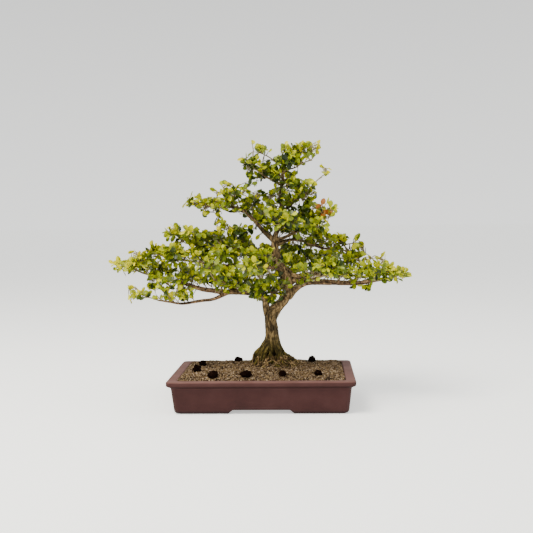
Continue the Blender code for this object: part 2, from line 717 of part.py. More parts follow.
def branchlet_plan():
    """Every branchlet: its name, foot, the place it reaches to, and each shoot's swing from the
    stem, rise and roll."""
    plan = []
    for number, (limb, (radius, tip_radius, reaches, route)) in enumerate(LIMBS.items()):
        draw = random.Random(100 + number)
        for i, reach in enumerate(reaches, start=1):
            at_tip = i == len(reaches)
            foot = Vector(route[-1]) if at_tip else branchlet_foot(route, Vector(reach))
            swing = TIP_SIDE_SWING if at_tip else SIDE_SWING
            shoots = []
            for turn in (0, 1, -1):
                shoots.append((turn * swing + draw.uniform(-1, 1) * SWING_JITTER,
                               SIDE_RISE * abs(turn) + draw.uniform(-1, 1) * SWING_JITTER,
                               draw.choice((0, SIDE_ROLL)) + draw.uniform(-1, 1) * ROLL_JITTER))
            plan.append((f"spray_{limb}_{i}", foot, Vector(reach), shoots))
    return plan


def clear_start(wood, foot, aim, across, normal):
    """The first place along aim where the stem's end stands clear of the wood."""
    half_width = across * STEM_WIDTH / 2
    half_depth = normal * STEM_DEPTH / 2
    offsets = [sx * half_width + sy * half_depth for sx in (-1, 0, 1) for sy in (-1, 0, 1)]
    hit = wood.ray_cast(foot, aim)
    distance = (hit[0] - foot).length if hit[0] else 0.0
    while True:
        place = foot + aim * distance
        if min(wood.find_nearest(place + offset)[3] for offset in offsets) >= FIT:
            return place
        distance += 0.0001


def fitted_shoots(start, aim, length, wanted, taken):
    """The branchlet's shoots, each turned so that it touches nothing that is already there, and
    the number of leaves on them."""
    shoots = []
    azimuth = math.atan2(aim.y, aim.x)
    stem_rise = math.asin(aim.z)
    for (swing, rise, roll), pairs in zip(wanted, SHOOT_PAIRS):
        found = None
        for sideways, upward, about in TRIED_TURNS:
            turned = azimuth + swing + math.radians(sideways)
            direction = heading(turned, STEM_RISE_KEPT * stem_rise + rise + math.radians(upward))
            normal = faced(direction, roll + math.radians(about))
            tried = shoots + [(direction, normal, pairs)]
            mesh = branchlet_surface(start, aim, length, tried, TEST_SPARE)
            surface, faces = thickened(mesh, STEM_DEPTH + 2 * TEST_SPARE)
            bpy.data.meshes.remove(mesh)
            if not crosses_itself(surface, faces) and not any(surface.overlap(other) for other in taken):
                found = tried[-1]
                break
        if found is None and not shoots:
            return [], 0
        shoots.append(found or (aim, faced(aim, 0), 0))
    return shoots, sum(2 * pairs + 1 for direction, normal, pairs in shoots if pairs)


def make_branchlet(name, foot, reach, wanted, wood, taken, finish):
    """One branchlet as a solid, aimed a little past reach's side where that leaves it more room."""
    best = ([], 0)
    everything = sum(2 * pairs + 1 for pairs in SHOOT_PAIRS)
    for sideways, upward, about in TRIED_TURNS:
        aim = (reach - foot).normalized()
        azimuth = math.atan2(aim.y, aim.x) + math.radians(sideways)
        aim = heading(azimuth, math.asin(aim.z) + math.radians(upward))
        length = max((reach - foot).length - END_SHOOT_REACH, SHORTEST_STEM)
        normal = faced(aim, 0)
        start = clear_start(wood, foot, aim, aim.cross(normal), normal)
        length = max(length - (start - foot).length, SHORTEST_STEM)
        shoots, count = fitted_shoots(start, aim, length, wanted, taken)
        if count > best[1]:
            best = (shoots, count)
            placed = (start, aim, length)
        if count == everything:
            break
    shoots, count = best
    spray = new_object(name, branchlet_surface(*placed, shoots), PARTS, finish)
    spray.vertex_groups.new(name="depth")
    solid = spray.modifiers.new("depth", "SOLIDIFY")
    solid.thickness = STEM_DEPTH
    solid.offset = 0
    solid.vertex_group = "depth"
    return spray, count


def make_foliage(wood_object, finish):
    wood = surface_of(wood_object)
    taken = [wood]
    total = 0
    for name, foot, reach, wanted in branchlet_plan():
        spray, count = make_branchlet(name, foot, reach, wanted, wood, taken, finish)
        taken.append(surface_of(spray))
        total += count
        if count < sum(2 * pairs + 1 for pairs in SHOOT_PAIRS):
            print(name, "leaves", count)
    print("leaves", total)


# Fertiliser cakes


def make_cake(name, x, y, size, height, soil, finish, draw):
    """A rough lump, tilted as the soil slopes and lowered until it all but touches it."""
    bm = bmesh.new()
    bmesh.ops.create_cube(bm, size=1.7)
    bmesh.ops.subdivide_edges(bm, edges=bm.edges[:], cuts=1, use_grid_fill=True)
    for vertex in bm.verts:
        vertex.co *= min(1.0, 1.0 / vertex.co.length) * draw.uniform(*CAKE_ROUGHNESS)
        vertex.co.z = max(vertex.co.z, -CAKE_FLAT)
        vertex.co.x *= size / 2
        vertex.co.y *= size / 2 * CAKE_NARROWING
        vertex.co.z *= height / (1 + CAKE_FLAT)
    half = size / 2
    rise_x = soil_height(x + half, y) - soil_height(x - half, y)
    rise_y = soil_height(x, y + half) - soil_height(x, y - half)
    tilt = UP.rotation_difference(Vector((-rise_x, -rise_y, size))).to_matrix()
    turn = tilt @ Matrix.Rotation(draw.uniform(0, math.pi), 3, "Z")
    bmesh.ops.rotate(bm, verts=bm.verts[:], cent=(0, 0, 0), matrix=turn)
    bmesh.ops.triangulate(bm, faces=bm.faces[:])
    cake = new_object(name, mesh_of(bm, name), PARTS, finish)
    faces = [tuple(face.vertices) for face in cake.data.polygons]
    z = soil_height(x, y) + height
    while True:
        places = [vertex.co + Vector((x, y, z)) for vertex in cake.data.vertices]
        if BVHTree.FromPolygons(places, faces).overlap(soil):
            break
        z -= 0.0001
    cake.location = (x, y, z + FIT)


def make_all():
    clay = material("clay", (0.115, 0.042, 0.036), 0.75)
    grains = material("soil_grains", (0.27, 0.185, 0.10), 0.95)
    bark = material("bark", (0.115, 0.075, 0.042), 0.85)
    leaves = material("leaves", (0.16, 0.24, 0.035), 0.45)
    pressed = material("pressed_meal", (0.012, 0.009, 0.008), 0.9)
    make_tray(clay)
    soil = make_soil(grains)
    wood = make_wood(bark)
    make_foliage(wood, leaves)
    draw = random.Random(8)
    ground = surface_of(soil)
    for number, (x, y, size, height) in enumerate(CAKES, start=1):
        make_cake(f"fertiliser_cake_{number}", x, y, size, height, ground, pressed, draw)


make_all()
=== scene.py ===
# %% [markdown]
# # A boxwood bonsai in a clay tray
#
# A bonsai is a real tree kept small: here a boxwood with a thick flared foot, a trunk that bends
# once, and flat tiers of twigs. The solid model that this notebook loads has every piece at its
# true size, but it is plain. The cells below dress it, one piece at a time, and the solids stay
# in the file as the frame that everything is measured from.

# %% Load the solid model
import math
import random

import bmesh
import bpy
import numpy as np
from mathutils import Matrix, Vector, kdtree, noise
from mathutils.bvhtree import BVHTree


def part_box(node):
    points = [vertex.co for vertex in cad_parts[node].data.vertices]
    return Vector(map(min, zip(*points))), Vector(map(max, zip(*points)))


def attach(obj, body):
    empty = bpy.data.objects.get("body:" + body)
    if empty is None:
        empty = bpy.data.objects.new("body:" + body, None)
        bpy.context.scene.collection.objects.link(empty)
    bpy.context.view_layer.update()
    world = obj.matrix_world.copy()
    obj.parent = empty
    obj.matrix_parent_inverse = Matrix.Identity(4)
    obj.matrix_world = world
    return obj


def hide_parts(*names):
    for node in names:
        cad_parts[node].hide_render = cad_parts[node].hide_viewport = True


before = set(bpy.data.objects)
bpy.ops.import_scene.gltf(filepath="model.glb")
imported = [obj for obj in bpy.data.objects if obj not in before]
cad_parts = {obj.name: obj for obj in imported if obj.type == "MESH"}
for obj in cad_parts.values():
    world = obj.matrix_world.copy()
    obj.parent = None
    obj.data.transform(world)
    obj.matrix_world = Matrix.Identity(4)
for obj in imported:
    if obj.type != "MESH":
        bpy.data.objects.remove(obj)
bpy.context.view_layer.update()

UP = Vector((0, 0, 1))

# %% [markdown]
# ## The camera
#
# The camera stands about 1.4 m away and a little above the tray, as a photographer would to show
# the tree's front. Its place comes from the tray: the four corners of the rim are a rectangle of
# known size, so only one place and one lens show them as the picture does. A slight roll is kept
# too, because nobody holds a camera quite level.

# %% Camera
CAMERA_PLACE = Vector((0.0772, -1.3923, 0.3074))
CAMERA_TURN = math.radians(2.874)
CAMERA_DIP = math.radians(3.255)
CAMERA_ROLL = math.radians(-0.822)
LENS = 56.53


def new_object(name, data):
    """A new object in the scene, which shows the given mesh, light or camera."""
    thing = bpy.data.objects.new(name, data)
    bpy.context.scene.collection.objects.link(thing)
    return thing


def add_camera():
    data = bpy.data.cameras.new("camera")
    data.lens = LENS
    camera = new_object("camera", data)
    turn = Matrix.Rotation(CAMERA_TURN, 4, "Z") @ Matrix.Rotation(math.pi / 2 - CAMERA_DIP, 4, "X")
    camera.matrix_world = Matrix.Translation(CAMERA_PLACE) @ turn @ Matrix.Rotation(CAMERA_ROLL, 4, "Z")
    bpy.context.scene.camera = camera
    return camera


print("camera at", add_camera().location[:])

# %% [markdown]
# ## Finishes are small node trees
#
# Each finish starts from one Principled shader. Two helpers keep the trees short: one adds a
# node and sets its inputs, the other blends colours with a ramp. Textures use object
# coordinates, so a speck of clay keeps its size in millimetres wherever it lies.

# %% Helpers for finishes and pieces
def new_finish(name, roughness, specular=0.5):
    finish = bpy.data.materials.new(name)
    finish.use_nodes = True
    shader = finish.node_tree.nodes["Principled BSDF"]
    shader.inputs["Roughness"].default_value = roughness
    shader.inputs["Specular IOR Level"].default_value = specular
    return finish, finish.node_tree, shader


def add_node(tree, kind, inputs=None, **settings):
    """A new node. Each input is set to a value, or linked if it is given another node's socket."""
    node = tree.nodes.new(kind)
    for name, value in settings.items():
        setattr(node, name, value)
    for name, value in (inputs or {}).items():
        if isinstance(value, bpy.types.NodeSocket):
            tree.links.new(value, node.inputs[name])
        else:
            node.inputs[name].default_value = value
    return node


def add_noise(tree, scale, detail=4.0, roughness=0.55, stretch=(1, 1, 1)):
    """Noise over the piece's own coordinates, with scale in waves a metre."""
    place = add_node(tree, "ShaderNodeTexCoord").outputs["Object"]
    mapped = add_node(tree, "ShaderNodeMapping", {"Vector": place, "Scale": stretch}).outputs["Vector"]
    inputs = {"Vector": mapped, "Scale": scale, "Detail": detail, "Roughness": roughness}
    return add_node(tree, "ShaderNodeTexNoise", inputs).outputs["Fac"]


def add_ramp(tree, factor, stops):
    """Colours blended along a factor, from (position, colour) stops."""
    ramp = add_node(tree, "ShaderNodeValToRGB", {"Fac": factor})
    ramp.color_ramp.elements.remove(ramp.color_ramp.elements[1])
    ramp.color_ramp.elements[0].position = stops[0][0]
    ramp.color_ramp.elements[0].color = (*stops[0][1], 1)
    for position, colour in stops[1:]:
        ramp.color_ramp.elements.new(position).color = (*colour, 1)
    return ramp.outputs["Color"]


def multiply(tree, first, second, amount=1.0):
    """Two colours multiplied. The node's sockets share their names, so they go by their numbers."""
    inputs = {0: amount, 6: first, 7: second}
    return add_node(tree, "ShaderNodeMix", inputs, data_type="RGBA", blend_type="MULTIPLY").outputs[2]


def painted(tree):
    """The colour that is painted on each vertex."""
    return add_node(tree, "ShaderNodeVertexColor", layer_name="paint").outputs["Color"]


def add_bump(tree, shader, height, distance, strength):
    inputs = {"Height": height, "Distance": distance, "Strength": strength}
    bump = add_node(tree, "ShaderNodeBump", inputs)
    tree.links.new(bump.outputs["Normal"], shader.inputs["Normal"])


def add_piece(name, mesh, finishes, slot, *nodes):
    """A mesh as a piece of the tree's one rigid body, standing for the solids that it replaces."""
    piece = new_object(name, mesh)
    for finish in finishes:
        mesh.materials.append(finish)
    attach(piece, "root")
    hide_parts(*nodes)
    return piece


print("materials that came with the solids:", len(bpy.data.materials))

# %% [markdown]
# ## Soft studio light
#
# Leaves show their shape through highlights, so the light is one large soft panel above and in
# front, with a weaker one from the right and a bright, even surrounding. The floor is a plain
# pale sheet, big enough that its far edge melts into the background.

# %% Lights and floor
PANELS = (
    ("key", (-0.9, -0.9, 1.9), 1.1, 92, (1.0, 0.96, 0.88)),
    ("side", (1.6, -0.4, 0.9), 1.2, 10, (0.95, 0.98, 1.0)),
)
PANELS_AIM = Vector((0, 0, 0.2))
SKY_STOPS = ((0, (1.345, 1.354, 1.322)), (0.35, (0.86, 0.86, 0.85)))
SKY_STRENGTH = 1.15
FLOOR_SIZE = 60.0
FLOOR_COLOUR = (0.88, 0.89, 0.86, 1)
FLOOR_GLOW = (1, 1, 0.98, 1)
FLOOR_GLOW_STRENGTH = 0.6


def add_panel(name, place, size, power, colour):
    data = bpy.data.lights.new(name, "AREA")
    data.size = size
    data.energy = power
    data.color = colour
    panel = new_object(name, data)
    panel.location = place
    panel.rotation_euler = (PANELS_AIM - Vector(place)).to_track_quat("-Z", "Y").to_euler()


def add_surroundings():
    """A pale dome, brightest at the horizon, where the floor's far edge melts into it."""
    world = bpy.data.worlds.new("surroundings")
    world.use_nodes = True
    tree = world.node_tree
    way = add_node(tree, "ShaderNodeTexCoord").outputs["Generated"]
    height = add_node(tree, "ShaderNodeSeparateXYZ", {"Vector": way}).outputs["Z"]
    tree.links.new(add_ramp(tree, height, SKY_STOPS), tree.nodes["Background"].inputs["Color"])
    tree.nodes["Background"].inputs["Strength"].default_value = SKY_STRENGTH
    bpy.context.scene.world = world


def add_floor():
    bpy.ops.mesh.primitive_plane_add(size=FLOOR_SIZE, location=(0, 0, 0))
    floor = bpy.context.object
    floor.name = "floor"
    finish, tree, shader = new_finish("pale_floor", 0.9)
    shader.inputs["Base Color"].default_value = FLOOR_COLOUR
    shader.inputs["Emission Color"].default_value = FLOOR_GLOW
    shader.inputs["Emission Strength"].default_value = FLOOR_GLOW_STRENGTH
    floor.data.materials.append(finish)


for panel in PANELS:
    add_panel(*panel)
add_surroundings()
add_floor()

# %% [markdown]
# ## The clay tray
#
# The tray is unglazed stoneware, pressed in a mould: a lip all round with a soft edge, walls that
# lean in, and four feet made by low arches. It is a loft: one rounded rectangle for each step of
# the wall's section, bridged in order. The arches need no cutting, because the lowest rings are
# simply lifted where an arch is. The sizes come from the solid tray's own box.

# %% Tray sizes
TRAY_X, TRAY_Y, TRAY_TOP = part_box("pot")[1]
CORNER_RADIUS = 0.008
CORNER_STEPS = 8
SHARP_ANGLE = math.radians(38)
LIP_OVERHANG = 0.0068
LIP_FACE = 0.0072
LIP_UNDERCUT = 0.0036
RIM_WIDTH = 0.016
WALL_TAPER = 0.0047
FOOT_HEIGHT = 0.006
FOOT_WIDTH = 0.014
FOOT_ROUNDING = 0.0035
FLOOR_TOP = 0.0125
UNDERSIDE_TOP = FLOOR_TOP - 0.003
ARCH_FADE = 0.022
ARCH_HALF = (0.044, 0.053)
SIDE_ARCH_HALF = (0.029, 0.037)
DRAIN_X = 0.062
DRAIN_RADIUS = 0.009
print("tray in mm:", round(2000 * TRAY_X), round(2000 * TRAY_Y), round(1000 * TRAY_TOP))

# %% [markdown]
# The section is a handful of corners, each with the radius that a potter's sponge gives it. A
# round corner is a smooth curve between the two places where it meets the straight parts.

# %% Tray section
def rounded(corners, steps=4):
    """Points along an open line through (a, b, radius) corners, with each corner rounded."""
    points = [Vector(corners[0][:2])]
    for before, here, after in zip(corners, corners[1:], corners[2:]):
        corner = Vector(here[:2])
        back = Vector(before[:2]) - corner
        on = Vector(after[:2]) - corner
        reach = min(here[2], back.length / 2, on.length / 2)
        for step in range(steps + 1):
            share = step / steps
            first = corner + back.normalized() * reach * (1 - share)
            last = corner + on.normalized() * reach * share
            points.append(first.lerp(last, share))
    points.append(Vector(corners[-1][:2]))
    return points


def tray_section():
    """(inset from the lip's outside, height) from under the foot, up the wall, to the floor."""
    foot = LIP_OVERHANG + WALL_TAPER
    lip_bottom = TRAY_TOP - LIP_FACE
    corners = [
        (foot + FOOT_WIDTH + 0.010, FOOT_HEIGHT, 0), (foot + FOOT_WIDTH, FOOT_HEIGHT, 0.0012),
        (foot + FOOT_WIDTH - 0.001, 0, 0.0016), (foot, 0, 0.0085),
        (LIP_OVERHANG, lip_bottom - LIP_UNDERCUT, 0.0022), (0.0004, lip_bottom, 0.0016),
        (0, TRAY_TOP, 0.0022), (RIM_WIDTH, TRAY_TOP, 0.0024),
        (RIM_WIDTH + 0.001, TRAY_TOP - 0.012, 0.002),
        (RIM_WIDTH + WALL_TAPER, FLOOR_TOP, 0.004), (RIM_WIDTH + 0.02, FLOOR_TOP, 0),
    ]
    return rounded(corners)


print("section points:", len(tray_section()))

# %% [markdown]
# Each ring of the loft is a rectangle with round corners. Its straight sides carry extra points
# at the arches' ends, so that the lifted part starts and stops where it should. The last of them
# lies between the arch and that ring's own corner, because a point past the corner would fold
# the ring back on itself and leave holes in the tray's underside.

# %% Tray rings
ARCH_SHARES = (-0.25, -0.1, 0, 0.15, 0.5, 0.85, 1, 1.1, 1.25)


def side_stops(arch, half):
    """Where a straight side of the given half length has its points, most of them at the arch's ends."""
    near = [arch[0] + (arch[1] - arch[0]) * share for share in ARCH_SHARES]
    stops = [0.0, arch[0] * 0.5, *near, (arch[1] + half) / 2]
    return sorted({-stop for stop in stops} | set(stops))


def outline(inset):
    """Points round the rectangle, counter-clockwise seen from above, from the front side's left."""
    radius = CORNER_RADIUS
    half_x = TRAY_X - inset
    half_y = TRAY_Y - inset
    along_x = side_stops(ARCH_HALF, half_x - radius)
    along_y = side_stops(SIDE_ARCH_HALF, half_y - radius)
    sides = ([(x, -half_y) for x in along_x], [(half_x, y) for y in along_y],
             [(-x, half_y) for x in along_x], [(-half_x, -y) for y in along_y])
    points = []
    for side, (sx, sy) in zip(sides, ((1, -1), (1, 1), (-1, 1), (-1, -1))):
        points += side
        start = math.atan2(sy, sx) - math.pi / 4
        for step in range(CORNER_STEPS + 1):
            angle = start + math.pi / 2 * step / CORNER_STEPS
            points.append((sx * (half_x - radius) + radius * math.cos(angle),
                           sy * (half_y - radius) + radius * math.sin(angle)))
    return points


def smooth_step(value, low, high):
    share = min(max((value - low) / (high - low), 0.0), 1.0)
    return share * share * (3 - 2 * share)


def arch_lift(x, y, inset):
    """How far an arch lifts the tray's lower edge at a place."""
    half_x = TRAY_X - inset
    half_y = TRAY_Y - inset
    if abs(abs(y) - half_y) < 0.0005:
        along, straight, arch = abs(x), half_x - CORNER_RADIUS, ARCH_HALF
    else:
        along, straight, arch = abs(y), half_y - CORNER_RADIUS, SIDE_ARCH_HALF
    return FOOT_HEIGHT * (1 - smooth_step(along, *arch)) if along < straight else 0.0


def ring_height(x, y, z, inset):
    """The section's height z, lifted at the arches. Up the wall's outside the lift fades out."""
    lift = arch_lift(x, y, inset)
    if inset > LIP_OVERHANG + WALL_TAPER + FOOT_ROUNDING and z < UNDERSIDE_TOP:
        return min(FOOT_HEIGHT, z + lift)
    if z < ARCH_FADE and inset < RIM_WIDTH:
        return z + lift * (1 - smooth_step(z, 0, ARCH_FADE))
    return z


print("ring points:", len(outline(0)))

# %% Tray mesh
def bridge(bm, low, high):
    """Four-cornered faces between two closed rings of vertices."""
    for i in range(len(low)):
        j = (i + 1) % len(low)
        bm.faces.new((low[i], low[j], high[j], high[i]))


def mesh_from(bm, name):
    mesh = bpy.data.meshes.new(name)
    bm.to_mesh(mesh)
    bm.free()
    return mesh


def tray_mesh():
    bm = bmesh.new()
    rings = [[bm.verts.new((x, y, ring_height(x, y, z, inset))) for x, y in outline(inset)]
             for inset, z in tray_section()]
    for low, high in zip(rings, rings[1:]):
        bridge(bm, low, high)
    bm.faces.new(rings[0])
    bm.faces.new(rings[-1])
    bmesh.ops.recalc_face_normals(bm, faces=bm.faces[:])
    return mesh_from(bm, "clay_tray")


whole_tray = tray_mesh()
print("tray faces before the drain holes:", len(whole_tray.polygons))

# %% [markdown]
# Two drain holes go through the floor, where water leaves between the feet. They are the one
# thing here that a loft can't make, so a Boolean modifier cuts them with two short rods.

# %% Drain holes
def cut_drains(mesh):
    tray = new_object("tray_blank", mesh)
    bm = bmesh.new()
    for side in (-1, 1):
        bmesh.ops.create_cone(bm, cap_ends=True, segments=40, radius1=DRAIN_RADIUS, radius2=DRAIN_RADIUS,
                              depth=0.03, matrix=Matrix.Translation((side * DRAIN_X, 0, FLOOR_TOP)))
    rods = new_object("rods", mesh_from(bm, "rods"))
    cut = tray.modifiers.new("drains", "BOOLEAN")
    cut.object = rods
    cut.operation = "DIFFERENCE"
    bpy.context.view_layer.update()
    result = bpy.data.meshes.new_from_object(tray.evaluated_get(bpy.context.evaluated_depsgraph_get()))
    bpy.data.objects.remove(tray)
    bpy.data.objects.remove(rods)
    result.shade_smooth()
    result.set_sharp_from_angle(angle=SHARP_ANGLE)
    return result


drained_tray = cut_drains(whole_tray)
print("tray faces:", len(drained_tray.polygons))

# %% [markdown]
# The clay's colour is three layers multiplied: clouds a few centimetres across, as firing leaves
# them, specks of fine sand, and a tone that follows the height. The foot is dark, a painted shadow
# runs under the lip, and a painted highlight lightens the lip's face and the rim's top.

# %% Clay finish
CLAY_CLOUDS = ((0.30, (0.029, 0.0086, 0.0078)), (0.52, (0.038, 0.0119, 0.0111)),
               (0.74, (0.049, 0.0168, 0.0156)))
CLAY_SPECKS = ((0.28, (0.55, 0.52, 0.5)), (0.40, (1, 1, 1)), (0.66, (1, 1, 1)), (0.76, (1.25, 1.2, 1.15)))
# Height tones: the foot darker, a painted shadow under the lip, then a painted highlight up the lip's face,
# brightest on the rim's top.
CLAY_TONES_AND_PAINTED_LIGHT = ((0.0, (0.30, 0.28, 0.30)), (0.06, (0.40, 0.38, 0.40)), (0.12, (0.86, 0.84, 0.84)),
              (0.45, (1, 1, 1)), (0.78, (1, 1, 1)), (0.815, (0.50, 0.32, 0.28)),
              (0.860, (0.52, 0.36, 0.32)), (0.885, (1.05, 1.14, 1.08)),
              (0.965, (1.25, 1.48, 1.42)), (1.0, (3.2, 4.8, 4.3)))


def clay_finish():
    finish, tree, shader = new_finish("clay", 0.68, 0.14)
    clouds = add_ramp(tree, add_noise(tree, 22, 5), CLAY_CLOUDS)
    specks = add_ramp(tree, add_noise(tree, 900, 2), CLAY_SPECKS)
    place = add_node(tree, "ShaderNodeTexCoord").outputs["Object"]
    inputs = {"Value": add_node(tree, "ShaderNodeSeparateXYZ", {"Vector": place}).outputs["Z"],
              "From Min": 0.0, "From Max": TRAY_TOP}
    tones_and_painted_light = add_ramp(tree, add_node(tree, "ShaderNodeMapRange", inputs).outputs["Result"], CLAY_TONES_AND_PAINTED_LIGHT)
    colour = multiply(tree, multiply(tree, clouds, specks, 0.5), tones_and_painted_light)
    tree.links.new(colour, shader.inputs["Base Color"])
    add_bump(tree, shader, add_noise(tree, 700, 3), distance=0.0004, strength=0.5)
    return finish


tray_piece = add_piece("clay_tray", drained_tray, [clay_finish()], "clay", "pot")
print("clay tray in mm:", [round(1000 * v) for v in tray_piece.dimensions])

# %% [markdown]
# ## The soil
#
# Bonsai soil is mostly baked clay grains, two to four millimetres across, mounded a little above
# the rim so that water soaks in instead of running off. A bumpy sheet alone looks like felt, so
# the bed is a plain dark body with thousands of separate chips scattered over it. Six chip
# shapes, turned and scaled at random, are enough that no two look alike.

# %% Soil surface
SOIL_EDGE_Z = 0.0518
MOUND_HEIGHT = 0.0072
MOUND_REACH = 0.012
HEAP_HEIGHT = 0.0085
HEAP_REACH = (0.050, 0.045)
ROOT_CENTRE = (0.0205, 0.012)
SOIL_GAP = 0.0012
SOIL_X = TRAY_X - RIM_WIDTH - SOIL_GAP
SOIL_Y = TRAY_Y - RIM_WIDTH - SOIL_GAP
SOIL_BUMPS = ((0.0016, 45, 3), (0.0009, 140, 7))
BED_BELOW_CHIPS = 0.0006
BED_FOOT_Z = FLOOR_TOP + 0.0004
BED_LEAN = (SOIL_X - 0.0045) / SOIL_X


def soil_height(x, y):
    """The smooth top of the soil."""
    across = (x - ROOT_CENTRE[0]) / HEAP_REACH[0]
    deep = (y - ROOT_CENTRE[1]) / HEAP_REACH[1]
    heap = HEAP_HEIGHT * math.exp(-across * across - deep * deep)
    from_wall = max(min(SOIL_X - abs(x), SOIL_Y - abs(y)), 0.0)
    bumps = sum(high * noise.noise(Vector((x * waves, y * waves, seed)))
                for high, waves, seed in SOIL_BUMPS)
    mound = MOUND_HEIGHT * (1 - math.exp(-from_wall / MOUND_REACH))
    return SOIL_EDGE_Z + mound + heap + bumps * min(1, from_wall / 0.01)


def soil_body(columns=90, rows=60):
    """The bed under the chips: a bumpy top, straight sides and a flat underside."""
    bm = bmesh.new()
    grid = []
    for j in range(rows + 1):
        y = SOIL_Y * (2 * j / rows - 1)
        across = [SOIL_X * (2 * i / columns - 1) for i in range(columns + 1)]
        grid.append([bm.verts.new((x, y, soil_height(x, y) - BED_BELOW_CHIPS)) for x in across])
    for low, high in zip(grid, grid[1:]):
        for i in range(columns):
            bm.faces.new((low[i], low[i + 1], high[i + 1], high[i]))
    rim = grid[0] + [row[-1] for row in grid[1:]] + grid[-1][-2::-1] + [row[0] for row in grid[-2:0:-1]]
    foot = [bm.verts.new((v.co.x * BED_LEAN, v.co.y * BED_LEAN, BED_FOOT_Z)) for v in rim]
    bridge(bm, foot, rim)
    bm.faces.new(foot)
    bmesh.ops.recalc_face_normals(bm, faces=bm.faces[:])
    return bm


print("soil top at the trunk in mm:", round(1000 * soil_height(*ROOT_CENTRE), 1))

# %% [markdown]
# The chips are placed with numpy in one go, because adding them one by one through Blender's
# operators would take minutes. Each has its own colour, written to a colour attribute: mostly
# tan, with buff, brown and a few near-black ones.

# %% Soil chips
CHIPS = 22000
CHIP_RADIUS = (0.0008, 0.0018)
CHIP_SHAPES = 6
CHIP_SHAPE_SEED = 20
CHIPS_SEED = 11
BED_COLOUR = (0.040, 0.025, 0.015)
CHIP_COLOURS = np.array([(0.150, 0.098, 0.048), (0.220, 0.152, 0.078), (0.080, 0.050, 0.025),
                         (0.350, 0.262, 0.170), (0.036, 0.022, 0.013), (0.012, 0.008, 0.006),
                         (0.240, 0.172, 0.122)])
CHIP_SHARES = np.array([0.24, 0.19, 0.18, 0.12, 0.14, 0.07, 0.06])


def random_turns(draw, count):
    """Rotation matrices with no favoured direction, from random quaternions."""
    q = draw.normal(size=(count, 4))
    q /= np.linalg.norm(q, axis=1)[:, None]
    w, x, y, z = q.T
    rows = [1 - 2 * (y * y + z * z), 2 * (x * y - z * w), 2 * (x * z + y * w),
            2 * (x * y + z * w), 1 - 2 * (x * x + z * z), 2 * (y * z - x * w),
            2 * (x * z - y * w), 2 * (y * z + x * w), 1 - 2 * (x * x + y * y)]
    return np.stack(rows, axis=1).reshape(-1, 3, 3)


def chip_shape(seed):
    """A sharp chip about the size of a unit ball: six corners, pushed in and out, and eight faces."""
    draw = np.random.default_rng(seed)
    corners = np.array([(1, 0, 0), (0, 1, 0), (-1, 0, 0), (0, -1, 0), (0, 0, 1), (0, 0, -1)], dtype=float)
    corners += draw.uniform(-0.3, 0.3, size=corners.shape)
    faces = np.array([(i, (i + 1) % 4, 4) for i in range(4)] + [((i + 1) % 4, i, 5) for i in range(4)])
    return corners * draw.uniform(0.75, 1.25, size=3), faces


def scatter_chips(draw, count):
    """Corner places, faces and one colour for each corner of every chip."""
    x = draw.uniform(-SOIL_X, SOIL_X, count)
    y = draw.uniform(-SOIL_Y, SOIL_Y, count)
    z = np.array([soil_height(*place) for place in zip(x, y)]) + draw.uniform(-0.0007, 0.0007, count)
    size = CHIP_RADIUS[0] + (CHIP_RADIUS[1] - CHIP_RADIUS[0]) * draw.random(count) ** 1.5
    turns = random_turns(draw, count)
    hues = CHIP_COLOURS[draw.choice(len(CHIP_COLOURS), count, p=CHIP_SHARES / CHIP_SHARES.sum())]
    hues = hues * draw.uniform(0.75, 1.25, size=(count, 1))
    kinds = draw.integers(CHIP_SHAPES, size=count)
    places, faces, colours, offset = [], [], [], 0
    for kind in range(CHIP_SHAPES):
        corners, triangles = chip_shape(kind + CHIP_SHAPE_SEED)
        picked = np.nonzero(kinds == kind)[0]
        turned = np.einsum("nij,kj->nki", turns[picked], corners) * size[picked, None, None]
        centres = np.stack([x, y, z], axis=1)[picked]
        places.append((turned + centres[:, None, :]).reshape(-1, 3))
        starts = offset + np.arange(len(picked)) * len(corners)
        faces.append((starts[:, None, None] + triangles[None]).reshape(-1, 3))
        colours.append(np.repeat(hues[picked], len(corners), axis=0))
        offset += len(picked) * len(corners)
    return np.concatenate(places), np.concatenate(faces), np.concatenate(colours)


def paint(mesh, colours):
    """Writes one colour for each vertex to the attribute that the finishes read."""
    layer = mesh.color_attributes.new("paint", "FLOAT_COLOR", "POINT")
    rgba = np.ones((len(mesh.vertices), 4), dtype=np.float32)
    rgba[:, :3] = np.clip(colours, 0, 1)
    layer.data.foreach_set("color", rgba.ravel())


def soil_mesh():
    bm = soil_body()
    body = np.array([vertex.co[:] for vertex in bm.verts])
    bm.verts.index_update()
    faces = [[vertex.index for vertex in face.verts] for face in bm.faces]
    bm.free()
    places, chip_faces, chip_colours = scatter_chips(np.random.default_rng(CHIPS_SEED), CHIPS)
    mesh = bpy.data.meshes.new("soil_bed")
    mesh.from_pydata(np.concatenate([body, places]).tolist(), [], faces + (chip_faces + len(body)).tolist())
    paint(mesh, np.concatenate([np.tile(BED_COLOUR, (len(body), 1)), chip_colours]))
    return mesh


def grain_finish():
    finish, tree, shader = new_finish("soil_grains", 0.92, 0.1)
    dusty = add_ramp(tree, add_noise(tree, 1400, 3), ((0.3, (0.7, 0.68, 0.66)), (0.7, (1.15, 1.12, 1.08))))
    tree.links.new(multiply(tree, painted(tree), dusty), shader.inputs["Base Color"])
    add_bump(tree, shader, add_noise(tree, 2600, 2), distance=0.0003, strength=0.6)
    return finish


soil_piece = add_piece("soil_bed", soil_mesh(), [grain_finish()], "soil_grains", "soil")
print("soil faces:", len(soil_piece.data.polygons))

# %% [markdown]
# ## Fertiliser cakes
#
# The dark lumps on the soil are pressed meal, crumbling as it rots. Each starts as a ball in the
# solid cake's own box and is roughened with four sizes of noise. The finish adds a strong fine
# bump, so that the lump reads as crumbs and not as clay.

# %% Fertiliser cakes
CAKE_SETTLING = 0.0012
MEAL_STOPS = ((0.35, (0.0022, 0.0011, 0.0009)), (0.6, (0.007, 0.003, 0.002)), (0.74, (0.040, 0.019, 0.012)))


